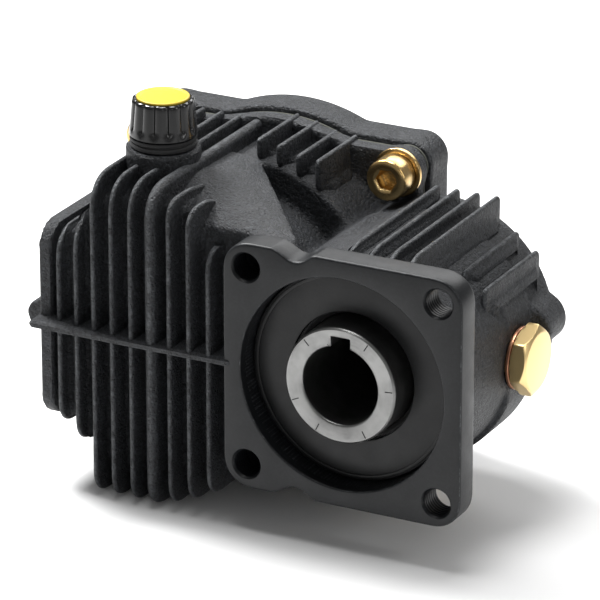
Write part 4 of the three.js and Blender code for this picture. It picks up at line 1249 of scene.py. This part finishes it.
@dataclass
class EngineFlange:
    """The square flange that the engine bolts to, with its deep round recess and seal cover."""

    half: float = 40.5
    thickness: float = 10.0
    corner: float = 9.0
    recess: float = 34.55
    bolt_hole: float = 4.5
    scallop: float = 6.6

    def build(self, finishes: Finishes) -> None:
        """Makes the flange's plate, the ring-shaped seal cover and the oil seal."""
        inner = self.half - self.corner
        reach = lobed_square(self.half, inner, self.corner)
        notches = [(OUTPUT_X + SCREW_REACH, side * (SCREW_REACH + 0.9), self.scallop)
                   for side in (1, -1)]
        wall, wear_and_highlight = bevelled(0, self.thickness, 0.9, 1.4)
        loops = [Loop(notched(reach, notches, 1440, 19), wall, wear_and_highlight=wear_and_highlight)]
        bore, bore_wear_and_highlight = bevelled(0, self.thickness, 0.7, 0.05)
        loops.append(Loop(ring_outline(self.recess, columns=180), bore, hole=True, wear_and_highlight=bore_wear_and_highlight))
        for sx, sz in FOUR_CORNERS:
            wall, wear_and_highlight = self.threaded()
            hole = ring_outline(self.bolt_hole, sx * BOLT_REACH, sz * BOLT_REACH, 64)
            loops.append(Loop(hole, wall, hole=True, wear_and_highlight=wear_and_highlight))
        # The plate's darker paint is painted shade on the front face.
        made("engine_flange_plate", plate(loops), Body.CASING, finishes.machined_and_shaded)
        cover = turned([(20.8, 8.0), (34.2, 8.0), (34.2, 17.2), (26.3, 17.2), (26.3, 9.7),
                        (20.8, 9.7)], columns=160, edge=0.45, closed=True)
        bead = turned([(32.2, 7.9), (33.3, 7.9), (33.3, 7.6), (32.2, 7.6)], columns=160,
                      edge=0.14, closed=True)
        # The cover's darker paint is painted shade in the recess.
        made("front_seal_cover_ring", joined([cover, bead]), Body.CASING, finishes.cover,
             ["front_seal_cover"])
        seal = turned([(19.15, 12.2), (20.4, 10.4), (25.6, 10.1), (25.95, 10.6), (25.95, 16.9),
                       (21.4, 16.9), (19.2, 13.6)], columns=120, edge=0.5, closed=True)
        made("front_oil_seal_lip", seal, Body.CASING, finishes.rubber, ["front_oil_seal"])

    def threaded(self) -> tuple[Array, Array]:
        """A bolt hole's wall: a chamfer, then fine thread crests of bright metal."""
        y = np.linspace(1.2, self.thickness - 0.6, 43)
        crest = -0.16 * (0.5 + 0.5 * np.cos(TAU * (y - 1.2) / 1.25))
        wall = np.concatenate([[[0.6, 0], [0.05, 0.6]], np.stack([crest, y], axis=1),
                               [[0.4, self.thickness]]])
        wear_and_highlight = np.concatenate([[0.5, 0.8], np.full(len(y), 0.55), [0.3]])
        return wall, wear_and_highlight


@dataclass
class RearFlange:
    """The thick flange that the pump bolts to, its gasket and its four cap screws."""

    front: float = 79.4
    back: float = 92.1
    half: float = 50.4
    lobe: float = 7.8
    bulge: float = 54.9
    bolt_circle: float = 45.0
    screw_hole: float = 4.3
    head: float = 6.75
    head_height: float = 8.0
    head_back: float = 69.8
    socket: float = 3.0

    def outline(self, inset: float) -> Array:
        """The lobed outline round the output line, moved inwards by an inset."""
        reach = lobed_square(self.half - inset, SCREW_REACH, self.lobe - inset / 2,
                             self.bulge - inset)
        return notched(reach, [], soften=9) + np.array([OUTPUT_X, 0])

    def build(self, finishes: Finishes) -> None:
        """Makes the flange with its hub, the gasket, the screws and the washers."""
        wall, wear_and_highlight = bevelled(self.front, self.back, 1.1, 1.3)
        loops = [Loop(self.outline(0.0), wall, wear_and_highlight=wear_and_highlight),
                 Loop(ring_outline(27.3, OUTPUT_X, 0, 160), self.stepped_bore(), hole=True)]
        for sx, sz in FOUR_CORNERS:
            x, z = OUTPUT_X + sx * SCREW_REACH, sz * SCREW_REACH
            through, worn_and_highlit = bevelled(self.front, self.back, 0.3, 0.5)
            loops.append(Loop(ring_outline(self.screw_hole, x, z, 48), through, hole=True,
                              wear_and_highlight=worn_and_highlit))
            reach = self.bolt_circle / math.sqrt(2)
            blind = np.array([(0, self.back - 9), (0, self.back - 0.6), (0.6, self.back)])
            loops.append(Loop(ring_outline(4.25, OUTPUT_X + sx * reach, sz * reach, 48), blind,
                              hole=True, opens_front=False, wear_and_highlight=np.array([1, 1, 0.6])))
        root = self.front + 0.5
        hub = turned([(31.3, 67.1), (34.6, 67.1), (34.6, root), (31.3, root)],
                     columns=120, edge=0.5, closed=True).moved(OUTPUT_X)
        made("rear_flange_plate", joined([plate(loops), hub]), Body.CASING, finishes.casting,
             ["rear_flange"])
        thin, _ = bevelled(78.3, 79.1, 0.15, 0.15)
        sheet = [Loop(self.outline(2.0), thin),
                 Loop(ring_outline(42.3, OUTPUT_X, 0, 120), thin, hole=True)]
        made("casing_gasket_sheet", plate(sheet), Body.CASING, finishes.fibre, ["casing_gasket"])
        for number, (sx, sz) in enumerate(FOUR_CORNERS, start=1):
            x, z = OUTPUT_X + sx * SCREW_REACH, sz * SCREW_REACH
            made(f"socket_screw_{number}", self.screw().moved(x, 0, z), Body.CASING, finishes.zinc,
                 [f"flange_screw_{number}"])
            ring = turned([(self.screw_hole, 70.1), (8.0, 70.1), (8.0, 71.7),
                           (self.screw_hole, 71.7)], columns=72, edge=0.35, closed=True)
            made(f"screw_washer_{number}", ring.moved(x, 0, z), Body.CASING, finishes.zinc,
                 [f"flange_washer_{number}"])

    def stepped_bore(self) -> Array:
        """The bore's profile from the front: seal bore, shoulder, then the pump's pilot recess."""
        return np.array([(0.3, self.front), (0.0, self.front + 0.3), (0.0, 88.9), (0.1, 89.0),
                         (4.7, 89.0), (4.7, 91.6), (5.2, self.back)])

    def screw(self) -> Shell:
        """A socket cap screw: round head with a dished hexagon socket, then its shank.

        In the socket the reach at angle a is flats / cos(a - nearest side's middle), so the rings
        change from circles to hexagons on the way in.
        """
        columns = 72
        angle = TAU * np.arange(columns) / columns
        hexagon = self.socket / np.cos((angle + math.pi / 6) % (math.pi / 3) - math.pi / 6)
        front = self.head_back - self.head_height
        rings = [(0.0, 0.0, front + 4.5), (0.0, 0.9, front + 4.5), (0.0, 1.0, front + 4.2),
                 (0.0, 1.0, front + 0.7), (0.0, 1.08, front + 0.35), (3.95, 0.0, front + 0.05),
                 (4.6, 0.0, front), (5.6, 0.0, front), (6.25, 0.0, front + 0.12),
                 (6.6, 0.0, front + 0.4), (self.head, 0.0, front + 0.9),
                 (self.head, 0.0, self.head_back - 0.5), (6.5, 0.0, self.head_back),
                 (4.2, 0.0, self.head_back), (3.95, 0.0, self.head_back + 0.4),
                 (3.95, 0.0, self.head_back + 19), (3.0, 0.0, self.head_back + 20),
                 (0.0, 0.0, self.head_back + 20)]
        radii = np.array([circle + share * hexagon for circle, share, _ in rings])
        along = np.array([np.full(columns, place) for _, _, place in rings])
        return polar(radii, along)


# ---- Plugs and filler cap ----------------------------------------------------------------------


@dataclass
class HexPlug:
    """A hexagon-headed plug on a soft washer."""

    name: str
    flats: float
    head: float
    thread: float
    depth: float
    turn: float = math.radians(18)

    def shell(self) -> Shell:
        """The plug along +X from its seat: its reach is the lesser of the hexagon and a cone.

        The hexagon's reach at angle a is (flats / 2) / cos(a from the nearest flat's middle).
        """
        columns = 144
        angle = TAU * np.arange(columns) / columns
        side = np.abs((angle - self.turn) % (math.pi / 3) - math.pi / 6)
        flat = self.flats / 2 / np.cos(side)
        seat, corner = 1.8, self.flats / math.sqrt(3)
        top = seat + self.head
        rings = [(0, -self.depth), (self.thread - 1, -self.depth), (self.thread, -self.depth + 1),
                 (self.thread, seat), (self.flats / 2 - 0.3, seat),
                 (self.flats / 2 + 0.2, seat + 0.1), (corner - 0.3, seat + 0.55),
                 (corner, seat + 0.9), (corner, top - 1.6)]
        cone = [(corner - u * (corner - self.flats / 2 + 0.7), top - 1.6 + 1.5 * u ** 0.8)
                for u in np.linspace(0.12, 1, 9)]
        rings += cone + [(self.flats / 2 - 1.1, top), (0, top)]
        radii = np.array([np.minimum(radius, flat) for radius, _ in rings])
        along = np.array([np.full(columns, place) for _, place in rings])
        return polar(radii, along, Axis.X)

    def build(self, finishes: Finishes, place: tuple[float, float, float], down: bool) -> None:
        """Makes the plug and its washer.

        Args:
            finishes: The gearbox's finishes.
            place: The middle of the seat.
            down: Whether the plug points down instead of to the right.
        """
        near, far = self.thread + 0.3, self.thread + 1.7
        washer = turned([(near, 0.3), (far, 0.3), (far, 1.5), (near, 1.5)], Axis.X, 96, 0.3, True)
        for name, shell, finish in ((self.name, self.shell(), finishes.brass),
                                    (self.name + "_washer", washer, finishes.copper)):
            if down:
                x, y, z = shell.points.T
                shell = Shell(np.stack([z, y, -x], axis=1), shell.faces, shell.wear_and_highlight)
            made(name + "_turned", shell.moved(*place), Body.CASING, finish, [name])


@dataclass
class FillerCap:
    """The fluted oil filler cap with its yellow disc, its neck seal and its stem."""

    bottom: float = 59.2
    height: float = 12.1
    low_radius: float = 10.8
    top_radius: float = 9.75
    flutes: int = 14
    flute_depth: float = 0.75

    def grip(self) -> Shell:
        """The cap: r(a, z) = cone(z) - depth s(z) (1 - |sin(n a / 2)|^0.55), with a plain skirt.

        The flutes fade in over the first millimetre above the skirt, and the top edge is round.
        """
        columns = 18 * self.flutes
        angle = TAU * np.arange(columns) / columns
        top = self.bottom + self.height
        z = np.concatenate([self.bottom + np.array([0, 0.3, 1.8, 2.2, 2.9]),
                            np.linspace(self.bottom + 3.6, top - 1.4, 8)])
        taper = self.top_radius - self.low_radius
        cone = self.low_radius + taper * (z - self.bottom) / self.height
        cone[0] -= 0.4
        show = np.clip((z - self.bottom - 1.8) / 1.1, 0, 1)
        wave = 1 - np.abs(np.sin(self.flutes * angle / 2)) ** 0.55
        radii = cone[:, None] - self.flute_depth * show[:, None] * wave[None]
        t = np.linspace(0, math.pi / 2, 6)[1:]
        shoulder = radii[-1][None] - (1 - np.cos(t))[:, None]
        rise = top - 1.4 + 1.1 * np.sin(t)
        lip = [(8.95, top - 0.28), (8.55, top - 0.35), (8.5, top - 0.8), (0.0, top - 0.85)]
        under = [(0.0, self.bottom - 15.5), (7.4, self.bottom - 15.5), (7.9, self.bottom - 15),
                 (7.9, self.bottom + 0.02)]
        rows = [np.full(columns, r) for r, _ in under]
        places = [p for _, p in under]
        rows += list(radii) + list(shoulder) + [np.full(columns, r) for r, _ in lip]
        places += list(z) + list(rise) + [p for _, p in lip]
        worn_and_highlit = np.clip(np.abs(np.array(places) - (top - 0.6)) < 0.8, 0, 1) * 0.6
        along = np.repeat(np.array(places)[:, None], columns, axis=1)
        return polar(np.array(rows), along, Axis.Z, wear_and_highlight=worn_and_highlit).moved(*FILLER)

    def build(self, finishes: Finishes) -> None:
        """Makes the cap, its disc and the seal on its neck."""
        top = self.bottom + self.height
        made("filler_cap_grip", self.grip(), Body.CAP, finishes.cap, ["filler_cap"])
        disc = turned([(0, top - 0.6), (8.35, top - 0.6), (8.35, top + 0.28), (7.3, top + 0.42),
                       (6.9, top + 0.2), (0, top + 0.22)], Axis.Z, 96, 0.3)
        made("filler_cap_badge", disc.moved(*FILLER), Body.CAP, finishes.yellow,
             ["filler_cap_disc"])
        seal = turned([(8.3, 55.7), (10.5, 55.7), (10.6, 57.1), (10.0, 57.3), (10.0, 57.6),
                       (10.6, 57.8), (10.5, 58.9), (8.3, 58.9)], Axis.Z, 96, 0.3, True)
        made("filler_neck_seal", seal.moved(*FILLER), Body.CAP_SEAL, finishes.rubber,
             ["filler_cap_seal"])


# ---- Shafts and gears --------------------------------------------------------------------------


def gear_outline(teeth: int, module: float = 2.0, backlash: float = 0.4) -> Array:
    """The outline of an involute gear whose first tooth points along +X.

    A tooth's half angle at radius r is pi / (2 n) - backlash / (2 R) + inv(20 deg)
    - inv(acos(b / r)), with R the pitch radius, b the base radius and inv(a) = tan(a) - a.

    Args:
        teeth: How many teeth it has.
        module: The pitch diameter over the number of teeth.
        backlash: The play on the pitch circle.

    Returns:
        The outline's points.
    """
    pitch = module * teeth / 2
    base = pitch * math.cos(math.radians(20))
    radius = np.linspace(pitch - 1.25 * module, pitch + module, 9)
    pressure = np.arccos(np.minimum(1, base / radius))
    start = math.tan(math.radians(20)) - math.radians(20)
    half = math.pi / (2 * teeth) - backlash / (2 * pitch) + start - (np.tan(pressure) - pressure)
    radii = np.concatenate([radius, radius[::-1]])
    angles = np.concatenate([-half, half[::-1]])
    centre = TAU * np.arange(teeth)[:, None] / teeth
    angle = (centre + angles[None]).ravel()
    return np.tile(radii, teeth)[:, None] * np.stack([np.cos(angle), np.sin(angle)], axis=1)


@dataclass
class ShaftLines:
    """The hollow pinion shaft with its teeth and marks, and the hollow output shaft."""

    bore: float = 12.7
    nose: float = 18.85
    nose_front: float = -0.72
    mark: tuple[float, float, float] = (15.4, 17.9, 0.16)
    mark_angles: tuple[float, ...] = (58, 4, 300, 243, 205, 133)
    teeth: int = 20
    teeth_places: tuple[float, float] = (54.6, 67.4)
    pinion_back: float = 75.6
    output_front: float = 37.2
    output_back: float = 89.0

    def steps(self, base: float, places: Sequence[tuple[float, float]]) -> Array:
        """Turns (radius, Y) steps into a profile of insets from a base radius."""
        line = rounded(places, 0.5, 4)
        return np.stack([base - line[:, 0], line[:, 1]], axis=1)

    def marks(self) -> Shell:
        """Six small witness marks struck across the pinion shaft's front ring, drawn as raised bars
        in a dark finish that paints the shade of the struck grooves.

        Each is a bar from one radius to another, with half its width to each side of its ray.
        """
        low, high, half = self.mark
        corners = np.array([(low, -half), (high, -half), (high, half), (low, half)])
        profile = np.array([(0.0, self.nose_front - 0.05), (0.0, self.nose_front + 0.1)])
        bars = []
        for angle in np.radians(self.mark_angles):
            along, up = math.cos(angle), math.sin(angle)
            way = np.array([[along, up], [-up, along]])
            bars.append(plate([Loop(corners @ way, profile)]))
        return joined(bars)

    def build(self, finishes: Finishes) -> None:
        """Makes the pinion shaft with its teeth and marks, then the output shaft."""
        nose = self.nose_front
        outer = self.steps(self.nose, [
            (self.nose - 0.7, nose), (self.nose, nose + 0.7), (self.nose, 17.6), (20.0, 17.6),
            (20.0, 32.6), (self.nose, 32.6), (self.nose, 51.6), (17.5, 53.6),
            (17.5, self.pinion_back - 0.6), (16.9, self.pinion_back)])
        inner = np.array([(0.8, nose), (0.35, nose + 0.18), (0.1, nose + 0.45), (0.0, nose + 0.9),
                          (0.0, self.pinion_back - 0.6), (0.6, self.pinion_back)])
        loops = [Loop(ring_outline(self.nose, columns=160), outer),
                 Loop(keyed_outline(self.bore, 6.35, 2.9), inner, hole=True)]
        front, back = self.teeth_places
        teeth = [Loop(gear_outline(self.teeth), bevelled(front, back, 0.3, 0.3)[0]),
                 Loop(ring_outline(17.3), bevelled(front, back, 0.1, 0.1)[0], hole=True)]
        gear = plate(teeth)
        angle = math.pi / self.teeth
        x, y, z = gear.points.T
        gear.points = np.stack([x * math.cos(angle) - z * math.sin(angle), y,
                                x * math.sin(angle) + z * math.cos(angle)], axis=1)
        made("pinion_shaft_keyed", joined([plate(loops), gear]), Body.PINION, finishes.shaft,
             ["pinion_shaft"])
        # The marks' dark colour is painted shade.
        made("shaft_witness_marks", self.marks(), Body.PINION, finishes.struck_in_painted_shade)
        outer = self.steps(20.0, [(19.4, self.output_front), (20.0, self.output_front + 0.6),
                                  (20.0, 48.2), (22.0, 48.5), (22.0, 68.0), (20.0, 68.0),
                                  (20.0, self.output_back - 0.6), (19.4, self.output_back)])
        inner = np.array([(0.0, self.output_front + 4), (0.0, self.output_back - 0.7),
                          (0.7, self.output_back)])
        loops = [Loop(ring_outline(20.0, OUTPUT_X, 0, 128), outer),
                 Loop(keyed_outline(12.0, 8.0, 3.3) + np.array([OUTPUT_X, 0]), inner, hole=True,
                      opens_front=False)]
        made("output_shaft_keyed", plate(loops), Body.WHEEL, finishes.output_shaft,
             ["output_shaft"])


# ---- Kept nodes --------------------------------------------------------------------------------


def dress_kept_nodes(finishes: Finishes) -> None:
    """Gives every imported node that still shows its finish."""
    choices = {
        "gear_wheel": finishes.gear, "wheel_key": finishes.gear, "rear_oil_seal": finishes.rubber,
        "dipstick": finishes.bearing, "locating_dowel": finishes.bearing,
        "bearing": finishes.bearing,
    }
    for name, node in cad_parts.items():
        if node.hide_render or node.type != "MESH":
            continue
        finish = next(value for part, value in choices.items() if part in name)
        node.data.materials.clear()
        node.data.materials.append(finish.material())
        LOG.info("%s keeps its shape, in %s", name, finish.name)


# ---- Studio ------------------------------------------------------------------------------------


@dataclass(frozen=True)
class SoftLight:
    """An oblong light: where it hangs, its sides in millimetres, and its power in watts."""

    name: str
    place: tuple[float, float, float]
    width: float
    height: float
    power: float


@dataclass
class Studio:
    """A pale floor, soft lights and the camera."""

    azimuth: float = 27.4
    elevation: float = 21.8
    lens: float = 300.0
    sensor: float = 36.0
    view_width: float = 187.5
    target: tuple[float, float, float] = (-34.6, 40.0, 7.4)
    lit_spot: tuple[float, float, float] = (-30.0, 40.0, 0.0)
    sky: float = 0.24
    lights: tuple[SoftLight, ...] = (
        SoftLight("overhead", (-60.0, 60.0, 660.0), 320.0, 260.0, 3.8),
        SoftLight("left_key", (-420.0, 140.0, 560.0), 200.0, 200.0, 7.5),
        SoftLight("right_card", (560.0, 60.0, 300.0), 120.0, 420.0, 0.7),
        SoftLight("bore_strip", (420.0, -640.0, 260.0), 24.0, 320.0, 0.25),
        SoftLight("back_rim", (-60.0, 620.0, 420.0), 620.0, 260.0, 2.2),
    )

    def aim(self, thing: bpy.types.Object, place: Array, target: Array) -> None:
        """Puts a light or the camera somewhere, pointing at a target, both in metres."""
        back = Vector(place - target).normalized()
        turn = back.to_track_quat("Z", "Y").to_matrix().to_4x4()
        thing.matrix_world = Matrix.Translation(Vector(place)) @ turn

    def build(self) -> None:
        """Makes the floor, the lights, the world and the camera."""
        scene = bpy.context.scene
        scene.view_settings.view_transform = "Standard"
        target = np.array(self.target) * MM + DATUM
        camera = bpy.data.objects.new("camera", bpy.data.cameras.new("camera"))
        scene.collection.objects.link(camera)
        camera.data.lens, camera.data.sensor_width = self.lens, self.sensor
        camera.data.clip_end = 50.0
        distance = self.view_width * self.lens / self.sensor * MM
        a, e = math.radians(self.azimuth), math.radians(self.elevation)
        way = np.array([math.sin(a) * math.cos(e), -math.cos(a) * math.cos(e), math.sin(e)])
        self.aim(camera, target + way * distance, target)
        scene.camera = camera
        spot = np.array(self.lit_spot) * MM + DATUM
        for light in self.lights:
            lamp = bpy.data.lights.new(light.name, "AREA")
            lamp.shape, lamp.energy = "RECTANGLE", light.power
            lamp.size, lamp.size_y = light.width * MM, light.height * MM
            lit = bpy.data.objects.new(light.name, lamp)
            scene.collection.objects.link(lit)
            self.aim(lit, np.array(light.place) * MM + DATUM, spot)
        world = bpy.data.worlds.new("studio")
        world.use_nodes = True
        background = world.node_tree.nodes["Background"]
        background.inputs["Color"].default_value = (1, 1, 1, 1)
        background.inputs["Strength"].default_value = self.sky
        scene.world = world
        self.floor()

    def floor(self) -> None:
        """A wide pale sheet just under the gearbox, with a faint unevenness."""
        mesh = bpy.data.meshes.new("studio_floor")
        size, z = 6.0, float(CAD_BOX[0][2]) - 0.0002
        corners = [(-size, -size, z), (size, -size, z), (size, size, z), (-size, size, z)]
        mesh.from_pydata(corners, [], [(0, 1, 2, 3)])
        floor = bpy.data.objects.new("studio_floor", mesh)
        bpy.context.scene.collection.objects.link(floor)
        material = bpy.data.materials.new("studio paper")
        material.use_nodes = True
        wiring = Wiring(material.node_tree)
        shader = material.node_tree.nodes["Principled BSDF"]
        where = wiring.add("TexCoord").outputs["Object"]
        cloud = wiring.noise(where, 3.0)
        colour = wiring.mix(cloud, rgba((0.86, 0.86, 0.86)), rgba((0.9, 0.9, 0.9)))
        material.node_tree.links.new(colour, shader.inputs["Base Color"])
        shader.inputs["Roughness"].default_value = 0.9
        mesh.materials.append(material)


def main() -> None:
    """Builds the gearbox's looks in order, then the studio."""
    logging.basicConfig(level=logging.INFO, format="%(name)s: %(message)s")
    finishes = Finishes()
    CastBody().build(finishes)
    CoolingFins().build(finishes)
    EngineFlange().build(finishes)
    RearFlange().build(finishes)
    HexPlug("level_plug", 20, 5.5, 8.3, 11).build(finishes, LEVEL_SEAT, down=False)
    HexPlug("drain_plug", 17, 5.0, 6.0, 10).build(finishes, DRAIN_SEAT, down=True)
    FillerCap().build(finishes)
    ShaftLines().build(finishes)
    dress_kept_nodes(finishes)
    Studio().build()


if __name__ == "__main__":
    main()
